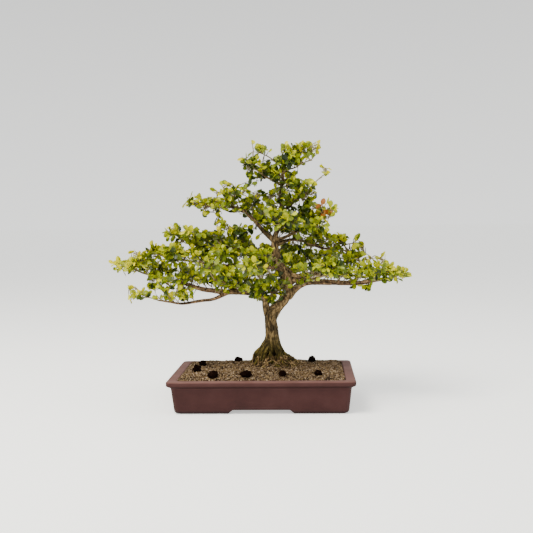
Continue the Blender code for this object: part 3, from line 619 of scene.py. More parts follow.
def cake_finish():
    finish, tree, shader = new_finish("pressed_meal", 0.95, 0.0)
    tree.links.new(add_ramp(tree, add_noise(tree, 500, 5), MEAL_STOPS), shader.inputs["Base Color"])
    add_bump(tree, shader, add_noise(tree, 1100, 4), distance=0.0008, strength=1.0)
    return finish


def cake_mesh(name, number):
    """A crumbling lump in the solid's own box, settled a little into the soil."""
    low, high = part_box(name)
    middle = (low + high) / 2 - CAKE_SETTLING * UP
    half = (high - low) / 2
    bm = bmesh.new()
    bmesh.ops.create_icosphere(bm, subdivisions=4, radius=1)
    shift = Vector((number * 9.0, 0, 0))

    def wave(place, scale):
        return noise.noise(place * scale + shift)

    for vertex in bm.verts:
        lumps = 0.30 * wave(vertex.co, 1.3) + 0.24 * wave(vertex.co, 3.1)
        crumbs = 0.13 * abs(wave(vertex.co, 7.5)) + 0.07 * wave(vertex.co, 17)
        place = vertex.co * (0.98 + lumps + crumbs)
        vertex.co = middle + Vector([place[i] * half[i] for i in range(3)])
    mesh = mesh_from(bm, "lump")
    mesh.shade_smooth()
    return mesh


meal = cake_finish()
cake_names = sorted(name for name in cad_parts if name.startswith("fertiliser_cake"))
for number, name in enumerate(cake_names):
    add_piece(name.replace("fertiliser", "meal"), cake_mesh(name, number), [meal], "pressed_meal", name)
print("cakes:", len(cake_names))

# %% [markdown]
# ## The tree's skeleton
#
# A tree is a set of tapering routes. The trunk's route bends low down, where the gardener cut
# the old leader, and every limb leaves it and runs out in a tier. For each limb there is its
# radius at both ends, the places that its leafy branchlets reach to, and its route. The limbs'
# numbers are those of the solid model, and the trunk's stay within half a millimetre of it. The
# trunk's rows are x, y, z and radius in tenths of a millimetre. The limbs' radii are in tenths
# too, and their places in whole millimetres.

# %% Trunk and limb routes
TENTHS = 10000
MILLIMETRES = 1000


def in_metres(rows, units):
    """Rows of whole numbers as metres, where units is how many of them make a metre."""
    return tuple(tuple(value / units for value in row) for row in rows)


TRUNK = in_metres((
    (205, 120, 460, 190), (185, 120, 660, 170), (150, 118, 840, 135), (146, 114, 980, 118),
    (150, 112, 1080, 109), (140, 110, 1200, 103), (130, 100, 1360, 99), (150, 90, 1480, 108),
    (258, 80, 1610, 84), (368, 60, 1730, 76), (415, 50, 1860, 80), (420, 50, 2000, 84), (380, 60, 2130, 84),
    (310, 80, 2270, 78), (250, 100, 2410, 70), (220, 110, 2550, 62), (210, 110, 2670, 54),
    (230, 100, 2810, 45), (290, 80, 2950, 40), (340, 60, 3110, 36), (340, 50, 3260, 33),
    (310, 50, 3410, 31), (330, 50, 3560, 30), (360, 50, 3710, 28), (360, 40, 3860, 24), (390, 30, 4000, 19),
    (460, 20, 4110, 13)
), TENTHS)
LIMB_TABLE = {
    "left_low": (62, 13, ((-206, -20, 239), (-181, 22, 223), (-129, 30, 213), (-238, 0, 234)), (
        (9, 9, 146), (5, 9, 160), (4, 7, 171), (1, 2, 180), (-10, -8, 185), (-28, -16, 187),
        (-46, -20, 188), (-62, -22, 188), (-78, -21, 190), (-94, -19, 192), (-111, -15, 196),
        (-127, -11, 201), (-146, -6, 206), (-172, 0, 213), (-197, 4, 218), (-212, 2, 224))),
    "left_hanging": (29, 12, ((-155, -78, 199), (-195, -60, 185)), (
        (-56, -22, 187), (-78, -34, 178), (-99, -45, 176), (-126, -56, 173), (-146, -60, 176),
        (-164, -62, 179))),
    "left_middle": (33, 12, ((-38, -20, 290), (-83, 18, 280), (-116, -25, 286), (-153, 6, 286)), (
        (23, 10, 246), (3, 6, 249), (-20, -2, 253), (-45, -8, 260), (-72, -10, 262), (-100, -7, 264),
        (-122, -2, 269))),
    "left_shelf": (34, 12, ((-62, -50, 249), (-110, 10, 253), (-143, -40, 256), (-185, -10, 255)), (
        (32, 6, 224), (10, -10, 228), (-19, -22, 231), (-54, -32, 232), (-90, -34, 236), (-128, -30, 242),
        (-156, -22, 244))),
    "left_upper": (40, 12, ((-17, 18, 335), (-50, -15, 350), (-86, 16, 340), (-118, -4, 336)), (
        (21, 10, 270), (4, 6, 286), (-5, 2, 297), (-16, 0, 309), (-34, -1, 323), (-52, -2, 328),
        (-77, -4, 328), (-92, -4, 330))),
    "top_left": (23, 11, ((6, 14, 386), (-27, -10, 400)), (
        (36, 4, 362), (23, 0, 370), (10, -4, 376), (2, -8, 381))),
    "top_left_twig": (16, 10, ((-6, 4, 419),), (
        (37, 4, 392), (28, 4, 398), (22, 4, 404))),
    "apex": (18, 10, ((44, -20, 403), (70, 0, 422)), (
        (38, 3, 396), (46, 2, 402), (55, 0, 406))),
    "apex_right": (18, 10, ((88, -8, 404),), (
        (36, 4, 383), (46, -4, 388), (58, -8, 391))),
    "right_top": (24, 11, ((70, -22, 363), (105, -4, 380)), (
        (34, 5, 320), (47, 0, 327), (56, -4, 337), (66, -7, 342), (76, -8, 350))),
    "right_middle": (30, 12, ((67, 24, 317), (90, -34, 293), (110, -18, 324)), (
        (24, 10, 271), (40, 4, 277), (55, -4, 284), (70, -12, 291), (88, -16, 298))),
    "right_shoulder": (30, 12, ((128, 46, 271), (166, 30, 264)), (
        (24, 10, 263), (43, 14, 271), (63, 20, 271), (84, 26, 263), (104, 30, 256), (124, 32, 257),
        (138, 32, 261))),
    "right_low": (68, 13, ((93, -30, 226), (172, 10, 220), (201, -32, 222), (231, -8, 212)), (
        (41, 6, 178), (51, 5, 187), (63, 1, 197), (77, -3, 202), (96, -8, 202), (121, -11, 201),
        (146, -13, 200), (170, -14, 201), (191, -13, 204), (211, -10, 206))),
    "right_second": (56, 13, ((191, 64, 239),), (
        (42, 7, 198), (56, 12, 207), (71, 18, 212), (89, 26, 213), (106, 34, 211), (124, 43, 211),
        (146, 54, 219))),
    "right_front": (26, 12, ((114, -118, 231),), (
        (63, 1, 197), (77, -30, 206), (93, -60, 213), (106, -80, 218))),
    "front": (34, 12, ((14, -90, 250), (-11, -130, 231)), (
        (34, 7, 221), (25, -25, 227), (16, -55, 229), (5, -82, 228), (-1, -98, 227))),
    "front_left": (30, 12, ((-49, -88, 219), (-81, -122, 234)), (
        (-21, -11, 186), (-37, -45, 199), (-53, -72, 207), (-70, -90, 213))),
    "front_high": (24, 11, ((49, -62, 302),), (
        (26, 10, 285), (31, -18, 292), (40, -40, 297))),
    "back_left": (32, 12, ((-36, 78, 260), (-91, 116, 263)), (
        (24, 11, 243), (-2, 38, 245), (-34, 68, 250), (-58, 88, 253))),
    "back": (32, 12, ((38, 85, 238), (20, 130, 251)), (
        (38, 8, 212), (37, 45, 222), (31, 78, 227), (26, 100, 232))),
    "back_right": (24, 12, ((116, 118, 239),), (
        (78, 21, 212), (89, 60, 223), (100, 84, 230))),
    "back_high": (26, 11, ((-3, 76, 318),), (
        (28, 8, 292), (16, 34, 304), (6, 52, 311))),
    "front_low": (26, 12, ((-6, -58, 196),), (
        (36, 6, 176), (30, -12, 183), (20, -28, 187), (10, -40, 189))),
}
LIMBS = {
    name: (radius / TENTHS, tip / TENTHS, in_metres(reaches, MILLIMETRES), in_metres(route, MILLIMETRES))
    for name, (radius, tip, reaches, route) in LIMB_TABLE.items()
}
print("limbs:", len(LIMBS), "branchlets:", sum(len(reaches) for r, t, reaches, route in LIMBS.values()))

# %% [markdown]
# ## Wood
#
# Each length of wood is a tube along its route. The route's corners are first rounded with a
# Catmull-Rom curve, which passes through every given point. Bark is real relief and not a
# texture: the radius of every ring point is pushed in and out by noise that is stretched along
# the stem, which gives the long plates and grooves of old boxwood.

# %% Smooth routes and tubes
def smooth_route(places, radii, spacing):
    """Points and radii about spacing apart along a curve through all the places."""
    points = [Vector(place) for place in places]
    points = [2 * points[0] - points[1], *points, 2 * points[-1] - points[-2]]
    sizes = [radii[0], *radii, radii[-1]]
    route, widths = [], []
    for i in range(1, len(points) - 2):
        a, b, c, d = points[i - 1:i + 3]
        steps = max(1, round((c - b).length / spacing))
        for step in range(steps):
            t = step / steps
            route.append(0.5 * (2 * b + (c - a) * t + (2 * a - 5 * b + 4 * c - d) * t ** 2
                                + (3 * b - a - 3 * c + d) * t ** 3))
            widths.append(sizes[i] + (sizes[i + 1] - sizes[i]) * t)
    route.append(points[-2])
    widths.append(sizes[-2])
    return route, widths


def smooth_trunk(spacing, rows=TRUNK):
    return smooth_route([row[:3] for row in rows], [row[3] for row in rows], spacing)


def frames_along(route):
    """Two directions across the route at each point, carried along without spin."""
    across = []
    direction = (route[1] - route[0]).normalized()
    side = direction.orthogonal().normalized()
    for i in range(len(route)):
        ahead = (route[min(i + 1, len(route) - 1)] - route[max(i - 1, 0)]).normalized()
        side = (direction.rotation_difference(ahead) @ side).normalized()
        direction = ahead
        across.append((side.copy(), ahead.cross(side)))
    return across


def bark_relief(angle, along, radius, seed, depth):
    """How much further out the bark stands, as a share of the radius.

    Long plates follow the stem's girth, flakes are three times finer, and knots go right round."""
    around = max(1.6, radius * 260)
    x, y = math.cos(angle), math.sin(angle)
    plates = noise.noise(Vector((x * around, y * around, along * 55 + seed)))
    flakes = noise.noise(Vector((x * around * 3, y * around * 3, along * 210 + seed)))
    knots = noise.noise(Vector((x * 0.8, y * 0.8, along * 60 - seed)))
    return depth * (0.50 * plates + 0.45 * flakes + 0.40 * knots)


def new_skin():
    """Places, colours and faces that wait to become a mesh."""
    return {"places": [], "colours": [], "faces": []}


def add_tube(skin, route, radii, sides, seed, depth, tint):
    """Adds a closed tube to a skin. tint gives the colour for a place and its relief."""
    start = len(skin["places"])
    along = 0.0
    for i, ((side, other), radius) in enumerate(zip(frames_along(route), radii)):
        along += (route[i] - route[max(i - 1, 0)]).length
        for k in range(sides):
            angle = 2 * math.pi * k / sides
            out = side * math.cos(angle) + other * math.sin(angle)
            relief = bark_relief(angle, along, radius, seed, depth)
            skin["places"].append(route[i] + out * radius * (1 + relief))
            skin["colours"].append(tint(route[i], relief / max(depth, 0.001)))
    for i in range(len(route) - 1):
        for k in range(sides):
            j = (k + 1) % sides
            low = start + i * sides
            skin["faces"].append((low + k, low + j, low + sides + j, low + sides + k))
    skin["faces"].append(tuple(reversed(range(start, start + sides))))
    last = start + (len(route) - 1) * sides
    skin["faces"].append(tuple(range(last, last + sides)))


def skin_mesh(name, skin):
    mesh = bpy.data.meshes.new(name)
    mesh.from_pydata([tuple(place) for place in skin["places"]], [], skin["faces"])
    paint(mesh, np.array(skin["colours"]))
    mesh.shade_smooth()
    return mesh


print("trunk points:", len(smooth_trunk(0.0014)[0]))

# %% [markdown]
# The colour of bark depends on where it is: olive with algae near the soil, grey-brown on the
# trunk, warmer on the limbs, and darker wherever a groove or a hollow between two roots holds
# shade. So each vertex is painted by its height, by its own relief and by how deep it lies
# inside the flare.

# %% Bark colours
OLIVE = Vector((0.080, 0.062, 0.012))
OLD_BARK = Vector((0.126, 0.087, 0.041))
LIMB_BARK = Vector((0.160, 0.100, 0.055))
FLARE_CORE = (0.0185, 0.0110)
FLARE_RADII = (0.0125, 0.0790)
FLARE_TOP = 0.100
HOLLOW_DARK = 0.62
HOLLOWS_FADE = (0.088, 0.104)
OLIVE_FADES = (0.075, 0.125)
TREE_AXIS = (0.02, 0.01)
LIMB_BARK_FROM = (0.02, 0.12)
BARK_STREAKS = ((0.38, (0.32, 0.29, 0.25)), (0.50, (0.90, 0.88, 0.86)), (0.64, (1.85, 1.75, 1.62)))


def hollow_shade(place):
    """1 in the open, less in the hollows between the roots, which lie well inside the flare."""
    from_core = math.hypot(place.x - FLARE_CORE[0], place.y - FLARE_CORE[1])
    flare = FLARE_RADII[0] + FLARE_RADII[1] * max((FLARE_TOP - place.z) / FLARE_TOP, 0.0) ** 1.5
    inside = 1 - smooth_step(from_core / flare, 0.55, 0.98)
    return 1 - HOLLOW_DARK * inside * (1 - smooth_step(place.z, *HOLLOWS_FADE))


def bark_tint(place, relief):
    """relief is how far the bark stands out there, as a share of its depth."""
    low = 1 - smooth_step(place.z, *OLIVE_FADES)
    from_trunk = smooth_step(math.hypot(place.x - TREE_AXIS[0], place.y - TREE_AXIS[1]), *LIMB_BARK_FROM)
    hue = OLD_BARK.lerp(LIMB_BARK, from_trunk).lerp(OLIVE, low)
    # Painted shade: the bark is darker in its grooves and lighter on its ridges, by its relief, and
    # hollow_shade paints shade into the hollows between the roots.
    return hue * (0.25 + 1.42 * smooth_step(relief, -0.40, 0.60)) * hollow_shade(place)


def bark_finish():
    finish, tree, shader = new_finish("bark", 0.9, 0.12)
    streaks = add_ramp(tree, add_noise(tree, 340, 4, 0.6, (1, 1, 0.38)), BARK_STREAKS)
    tree.links.new(multiply(tree, painted(tree), streaks), shader.inputs["Base Color"])
    add_bump(tree, shader, add_noise(tree, 900, 4, 0.6, (1, 1, 0.4)), distance=0.0006, strength=0.8)
    return finish


print("bark at mid height:", [round(v, 3) for v in bark_tint(Vector((0.03, 0, 0.15)), 0.0)])

# %% [markdown]
# ## Surface roots
#
# Old bonsai are prized for the way their roots grip the soil. Each root here is its own tube: it
# starts inside the trunk, runs down its flank, bends outwards and dives into the soil. The trunk
# itself is kept slim down there, so that deep dark creases stay open between the roots, which a
# single lumpy cone can't have. The front ones follow the real tree's main ridges. Each point is
# x, y, z and radius in millimetres. Two collars of swollen wood, in the same form, close the
# sharp forks where the low right limbs leave the trunk. Thin rootlets and dry litter then cover
# the roots' feet, where they would otherwise meet the soil in a clean line.

# %% Surface roots
ROOTS = (
    ((17, 12, 116, 5.0), (19.5, 12, 102, 5.4), (22, 11, 92, 5.4), (30, 10, 82, 5.0), (41, 9, 73.5, 4.8),
     (53, 8, 66, 4.4), (64, 8, 58, 4.0)),
    ((10, 12, 116, 5.0), (7.5, 11, 102, 5.4), (1.5, 10, 93, 5.6), (-5.5, 9, 86.5, 5.2),
     (-12.6, 9, 79.5, 4.8), (-13.6, 8, 73, 3.6), (-11, 8, 66, 3.8), (-12, 8, 55, 4.0)),
    ((19, 6, 112, 4.6), (22, 2.0, 99, 5.2), (24.5, -3, 89, 5.0), (28.5, -8, 79, 4.8), (31.5, -12, 69, 4.8),
     (33, -15, 60, 4.4), (36, -18, 51, 4.0)),
    ((12, 6, 112, 4.4), (9.5, 3.0, 99, 4.8), (5.5, 0.0, 89, 4.4), (0.5, -3, 80, 3.6), (-3, -7, 70, 3.4),
     (-7, -12, 61, 3.8), (-9, -14, 52, 3.6)),
    ((14.5, 4, 104, 3.6), (13.5, 0.0, 93, 3.0), (12.5, -5, 84, 2.4), (13.0, -9, 75, 2.4),
     (15.5, -12, 65, 2.6), (18, -14, 55, 2.6)),
    ((22, 8, 104, 4.0), (28, 5, 90, 3.8), (36, 1, 78, 3.4), (43, -4, 69, 3.2), (50, -9, 61, 3.0),
     (55, -12, 53, 3.0)),
    ((7, 6, 102, 3.6), (0.5, 2, 90, 3.8), (-5.5, -1, 80, 3.6), (-11, -6, 70, 3.4), (-16, -10, 60, 3.0),
     (-19, -12, 53, 2.8)),
    ((20, 18, 112, 5.0), (23, 21, 97, 5.2), (27, 26, 84, 5.0), (33, 32, 72, 4.6), (40, 38, 61, 4.2),
     (45, 41, 52, 4.0)),
    ((9, 17, 112, 4.8), (4, 20, 97, 5.2), (-1, 25, 84, 5.0), (-7, 31, 72, 4.6), (-13, 36, 61, 4.2),
     (-17, 39, 52, 3.8)),
    ((15, 19, 112, 5.0), (16, 24, 97, 5.4), (17, 30, 84, 5.2), (18, 38, 71, 4.8), (18, 45, 60, 4.4),
     (18, 49, 52, 4.0)),
    ((8, 14, 106, 4.2), (-1, 16, 92, 4.4), (-9, 18, 80, 4.4), (-17, 20, 69, 4.0), (-24, 22, 58, 3.6),
     (-27, 23, 52, 3.2)),
    ((21, 14, 106, 4.2), (26, 16, 92, 4.2), (33, 19, 79, 4.0), (42, 22, 68, 3.6), (49, 24, 58, 3.4),
     (53, 25, 52, 3.0)),
    ((10, 14, 108, 5.0), (7, 13, 92, 6.2), (4, 13, 76, 7.4), (2, 13, 62, 8.0), (1, 13, 50, 8.0)),
)
COLLARS = (
    ((50, 7, 206, 4.0), (60, 6, 202.5, 4.4), (72, 3, 204.5, 3.4), (83, 2, 206.5, 1.6)),
    ((38, 7, 224, 4.0), (48, 7, 215.5, 4.8), (58, 6, 210.5, 4.6), (68, 5, 208.0, 3.4), (80, 3, 209, 1.6)),
)
print("roots:", len(ROOTS), "collars:", len(COLLARS))

# %% Rootlets and litter
WOOD_SEED = 3
ROOT_SPREAD = 1.15
ROOTLETS = 16
ROOTLET_RADII = (0.0017, 0.0010)
ROOTLET_COURSE = ((0.014, 0.013), (0.021, 0.0065), (0.029, 0.0022), (0.036, 0.0010), (0.044, -0.0040))
ROOTLET_SHIFT_Y = -0.004
LITTER = 190
LITTER_TOP = 0.079
LITTER_POINTS = 5
LITTER_STEP = (0.0026, 0.0020)
LITTER_RADII = (0.0005, 0.0010)
LITTER_COLOURS = (Vector((0.260, 0.180, 0.090)), Vector((0.120, 0.075, 0.032)),
                  Vector((0.040, 0.024, 0.011)))


def rootlet_places(draw):
    """A thin root that crawls out of the flare and over the soil before it goes under."""
    angle = draw.uniform(math.radians(-165), math.radians(-15))
    places = []
    for away, lift in ROOTLET_COURSE:
        angle += draw.uniform(-0.25, 0.25)
        x = ROOT_CENTRE[0] + away * ROOT_SPREAD * math.cos(angle)
        y = ROOT_CENTRE[1] + ROOTLET_SHIFT_Y + away * math.sin(angle)
        places.append(Vector((x, y, soil_height(x, y) + lift)))
    return places


def litter_places(ground, draw):
    """A dead rootlet or stalk that lies over the roots' feet and on the soil in front of them."""
    angle = draw.uniform(math.radians(-180), math.radians(0))
    away = draw.uniform(0.014, 0.042)
    x = ROOT_CENTRE[0] + away * ROOT_SPREAD * math.cos(angle)
    y = ROOT_CENTRE[1] + away * math.sin(angle)
    way = draw.uniform(0, math.pi)
    places = []
    for step in range(LITTER_POINTS):
        place = ground.ray_cast(Vector((x, y, LITTER_TOP)), -UP)[0]
        z = max(place.z if place else 0, soil_height(x, y))
        places.append(Vector((x, y, z + draw.uniform(0.0002, 0.0020))))
        way += draw.uniform(-0.8, 0.8)
        x += LITTER_STEP[0] * math.cos(way)
        y += LITTER_STEP[1] * math.sin(way)
    return places


print("first rootlet starts in mm:", [round(1000 * v) for v in rootlet_places(random.Random(WOOD_SEED))[0]])

# %% Wood mesh
TRUNK_FOOT = in_metres((
    (205, 120, 460, 125), (185, 120, 660, 125), (155, 118, 840, 124), (148, 114, 980, 120)
), TENTHS)
TRUNK_SPARE = 1.05
LIMB_FULLNESS = 1.4
LIMB_COLLAR = 1.25
THICK_SPACING = 0.0013
ROOTLET_SPACING = 0.0016
LIMB_SPACING = 0.0018


def taper(first, last, steps):
    """Radii that go evenly from the first to the last."""
    return [first + (last - first) * i / steps for i in range(steps + 1)]


def wood_mesh():
    skin = new_skin()
    draw = random.Random(WOOD_SEED)

    def grow(course, sides, seed, depth):
        add_tube(skin, *course, sides, seed, depth, bark_tint)

    rows = TRUNK_FOOT + tuple((*row[:3], row[3] * TRUNK_SPARE) for row in TRUNK[len(TRUNK_FOOT):])
    grow(smooth_trunk(THICK_SPACING, rows), sides=72, seed=1.7, depth=0.17)
    for number, root in enumerate(ROOTS + COLLARS):
        places = [0.001 * Vector(point[:3]) for point in root]
        sizes = [0.001 * point[3] for point in root]
        grow(smooth_route(places, sizes, THICK_SPACING), sides=26, seed=30.0 + number, depth=0.22)
    sizes = taper(*ROOTLET_RADII, len(ROOTLET_COURSE) - 1)
    for number in range(ROOTLETS):
        course = smooth_route(rootlet_places(draw), sizes, ROOTLET_SPACING)
        grow(course, sides=10, seed=90.0 + number, depth=0.15)
    ground = BVHTree.FromPolygons(skin["places"], skin["faces"])
    for number in range(LITTER):
        hue = draw.choice(LITTER_COLOURS) * draw.uniform(0.7, 1.3)
        radii = [draw.uniform(*LITTER_RADII)] * LITTER_POINTS
        places = litter_places(ground, draw)
        add_tube(skin, places, radii, 6, 200.0 + number, 0.1, lambda place, relief: hue)
    for number, (radius, tip_radius, reaches, places) in enumerate(LIMBS.values()):
        count = len(places) - 1
        sizes = [radius + (tip_radius - radius) * (i / count) ** LIMB_FULLNESS for i in range(count + 1)]
        sizes[0] *= LIMB_COLLAR
        grow(smooth_route(places, sizes, LIMB_SPACING), sides=20, seed=60.0 + number, depth=0.20)
    return skin_mesh("wood", skin)


wood_piece = add_piece("wood", wood_mesh(), [bark_finish()], "bark", "trunk_and_limbs")
print("wood faces:", len(wood_piece.data.polygons))

# %% [markdown]
# ## The crown's outline
#
# A bonsai is clipped to an outline, seen from its front, with gaps between the tiers that let
# the trunk and the sky through. So the crown gets what a gardener has in mind: a closed line
# round each leafy part and round each gap, in millimetres on the plane through the trunk. The
# lines were traced round the photographed crown and thinned until only the tiers and the largest
# gaps were left. A point is in the crown if an odd number of the lines' edges lie to one side of
# it. Leaves that grow outside are clipped, and a later cell looks for places inside that have no
# leaf yet.

# %% Crown outline
CROWN_OUTLINE = (
    ((70, 440), (77, 441), (84, 429), (99, 435), (95, 413), (88, 405), (79, 407), (65, 387), (52, 400),
     (49, 388), (59, 387), (62, 375), (93, 371), (91, 342), (79, 334), (114, 323), (117, 328), (101, 336),
     (112, 341), (123, 327), (125, 317), (105, 298), (116, 296), (109, 286), (113, 276), (120, 284),
     (148, 275), (133, 257), (141, 255), (168, 272), (168, 261), (176, 260), (162, 250), (187, 239),
     (206, 250), (205, 235), (240, 221), (247, 208), (215, 196), (186, 201), (176, 184), (160, 194),
     (170, 199), (161, 211), (157, 195), (146, 189), (138, 207), (109, 206), (103, 216), (83, 219),
     (76, 231), (73, 221), (50, 216), (26, 235), (33, 244), (28, 274), (60, 267), (64, 273), (52, 278),
     (65, 288), (44, 282), (24, 291), (-10, 275), (4, 294), (-19, 304), (-9, 319), (-22, 310), (-47, 320),
     (-69, 317), (-54, 293), (-39, 306), (-8, 294), (-20, 278), (-8, 257), (-1, 265), (27, 265), (18, 252),
     (-6, 247), (22, 246), (18, 234), (39, 219), (38, 209), (52, 203), (46, 197), (52, 192), (28, 172),
     (29, 162), (-21, 176), (-23, 189), (-34, 183), (-44, 191), (-61, 185), (-116, 207), (-125, 199),
     (-111, 188), (-128, 168), (-173, 178), (-169, 187), (-178, 190), (-184, 186), (-175, 179), (-180, 172),
     (-197, 201), (-186, 226), (-231, 216), (-248, 225), (-256, 240), (-244, 241), (-241, 251), (-234, 238),
     (-212, 248), (-227, 254), (-213, 260), (-202, 253), (-195, 261), (-186, 251), (-188, 271), (-152, 264),
     (-166, 290), (-147, 304), (-132, 294), (-120, 301), (-110, 293), (-75, 288), (-80, 305), (-71, 318),
     (-81, 317), (-84, 330), (-94, 313), (-102, 323), (-131, 331), (-119, 353), (-112, 347), (-100, 350),
     (-99, 339), (-79, 346), (-60, 341), (-62, 350), (-72, 347), (-87, 362), (-67, 353), (-68, 371),
     (-38, 365), (-17, 352), (3, 355), (13, 339), (13, 352), (26, 357), (19, 373), (4, 377), (-2, 365),
     (-25, 361), (-28, 369), (-18, 372), (-39, 416), (-23, 407), (-24, 414), (-7, 416), (-1, 407),
     (17, 402), (31, 412), (38, 434), (69, 431)),
    ((-226, 199), (-191, 191), (-178, 172), (-191, 182), (-226, 169)),
    ((67, 219), (99, 203), (54, 200)),
    ((-142, 273), (-131, 254), (-111, 262)),
    ((-21, 439), (21, 419), (1, 413)),
    ((37, 391), (31, 385), (35, 367), (43, 386)),
    ((-47, 336), (-50, 329), (-25, 326)),
    ((-151, 184), (-148, 173), (-131, 170)),
    ((97, 243), (103, 231), (114, 234)),
    ((66, 338), (54, 325), (73, 333)),
    ((98, 396), (117, 388), (106, 375)),
    ((152, 284), (168, 280), (157, 274)),
)
EDGES = 0.001 * np.array([(*a, *b) for ring in CROWN_OUTLINE for a, b in zip(ring, ring[1:] + ring[:1])])
EDGE_X, EDGE_Z, NEXT_X, NEXT_Z = EDGES.T
EDGE_SLOPES = (NEXT_X - EDGE_X) / np.where(NEXT_Z == EDGE_Z, 1, NEXT_Z - EDGE_Z)


def seen_from_front(x, y, z):
    """Where a place appears, on the plane y = 0, to someone who stands where the camera does."""
    share = CAMERA_PLACE.y / (CAMERA_PLACE.y - y)
    return CAMERA_PLACE.x + (x - CAMERA_PLACE.x) * share, CAMERA_PLACE.z + (z - CAMERA_PLACE.z) * share


def in_outline(x, z):
    crossed = (EDGE_Z > z) != (NEXT_Z > z)
    return np.count_nonzero(crossed & (x < EDGE_X + (z - EDGE_Z) * EDGE_SLOPES)) % 2 == 1


print("outline points:", len(EDGES), "crown's size in mm:", (1000 * np.ptp(EDGES[:, :2], axis=0)).round())

# %% [markdown]
# ## One leaf
#
# A boxwood leaf is a small spoon: widest past its middle, round at the tip, thick and glossy,
# with a pale midrib and edges that curl up or down a little. It is a grid of eight rows by five
# columns. One function gives the grid for any length, width, cup, curl and twist, so that
# every leaf on the tree can differ. Each leaf's colour is shaded the same way over its grid: the
# midrib paler, the base darker.

# %% Leaf shape
LEAF_ROWS = np.array([0.0, 0.10, 0.26, 0.44, 0.62, 0.79, 0.92, 1.0])
LEAF_COLUMNS = np.array([-1.0, -0.52, 0.0, 0.52, 1.0])
LEAF_POINTS = len(LEAF_ROWS) * len(LEAF_COLUMNS)
LEAF_GRID = np.arange(LEAF_POINTS).reshape(len(LEAF_ROWS), len(LEAF_COLUMNS))
LEAF_CORNERS = (LEAF_GRID[:-1, :-1], LEAF_GRID[:-1, 1:], LEAF_GRID[1:, 1:], LEAF_GRID[1:, :-1])
LEAF_FACES = np.stack(LEAF_CORNERS, axis=2).reshape(-1, 4)
MIDRIB_SHADE = np.where(np.abs(LEAF_COLUMNS) < 0.1, 1.12, 1.0)
LEAF_SHADE = ((0.86 + 0.16 * LEAF_ROWS[:, None]) * MIDRIB_SHADE[None, :]).reshape(-1, 1)
PETIOLE_WIDTH = 0.0009


def leaf_places(length, width, cup, curl, twist):
    """The leaf's grid: x across, y along from its stalk, z towards its upper side."""
    rows = LEAF_ROWS[:, None]
    half = width / 2 * np.sin(np.pi * rows ** 1.28) ** 0.62
    half = np.maximum(half, PETIOLE_WIDTH / 2 * (1 - rows))
    x = LEAF_COLUMNS[None, :] * half
    y = length * rows * (1 - 0.12 * abs(curl) * rows) + 0 * x
    z = cup * np.abs(x) * (0.4 + np.abs(x) / (width / 2)) - curl * length * rows ** 2 - 0.05 * half
    angle = twist * rows
    turned_x = x * np.cos(angle) - z * np.sin(angle)
    turned_z = x * np.sin(angle) + z * np.cos(angle)
    return np.stack([turned_x, y, turned_z], axis=2).reshape(-1, 3)


print("leaf points:", LEAF_POINTS, "faces:", len(LEAF_FACES))

# %% [markdown]
# ## Leaf colours
#
# Where a leaf sits sets its colour, as painted light: leaves at the top and at the ends of the tiers
# are painted lime to yellow, as in full sun, the leaves behind them mid green, and those inside
# almost black-green, as painted shade. Each leaf gets a brightness from where it sits and its youth,
# a little chance is added, and a ramp turns that into a colour. A few old leaves have turned orange-brown.

# %% Leaf colours
LEAF_RAMP = ((0.0, (0.008, 0.018, 0.005)), (0.22, (0.042, 0.068, 0.006)), (0.45, (0.165, 0.212, 0.008)),
             (0.64, (0.370, 0.405, 0.005)), (0.82, (0.500, 0.490, 0.000)), (1.0, (0.590, 0.530, 0.000)))
RUSTY = (0.36, 0.13, 0.028)
RUSTY_PLACES = (((0.108, -0.018, 0.322), 0.014, 0.40), ((-0.036, 0.018, 0.297), 0.012, 0.35))
LOOKS = ((0.0, 0.007), (0.0, 0.014), (0.0, 0.024), (-0.009, 0.004), (0.009, 0.004))
CROWN_FOOT = 0.19
CROWN_HEIGHT = 0.25
CROWN_HALF_X = (0.055, 0.205)
CROWN_HALF_Y = (0.080, 0.200)
LEAF_AGE_AND_PAINTED_LIGHT = {"inside": 0.20, "height": 0.16, "youth": 0.20, "outside": 0.20, "open": 0.36, "chance": 0.18}


def ramp_colour(value):
    value = min(max(value, 0.0), 1.0)
    for (low, first), (high, second) in zip(LEAF_RAMP, LEAF_RAMP[1:]):
        if value <= high:
            return np.array(first) + (np.array(second) - np.array(first)) * (value - low) / (high - low)
    return np.array(LEAF_RAMP[-1][1])


def outwardness(place):
    """0 at the trunk's line, 1 at the outside of the crown at that height."""
    share = min(max((place.z - CROWN_FOOT) / CROWN_HEIGHT, 0.0), 1.0)
    half_x = CROWN_HALF_X[0] + CROWN_HALF_X[1] * (1 - share) ** 0.9
    half_y = CROWN_HALF_Y[0] + CROWN_HALF_Y[1] * (1 - share) ** 0.9
    return min(math.hypot((place.x - TREE_AXIS[0]) / half_x, place.y / half_y), 1.1)


def openness(place):
    """0 deep in the crown, 1 at its top or its ends, from a few looks up and to both sides."""
    # The more open a leaf's place, the more painted sunlight it gets.
    x, z = seen_from_front(*place)
    return sum(not in_outline(x + dx, z + dz) for dx, dz in LOOKS) / len(LOOKS)


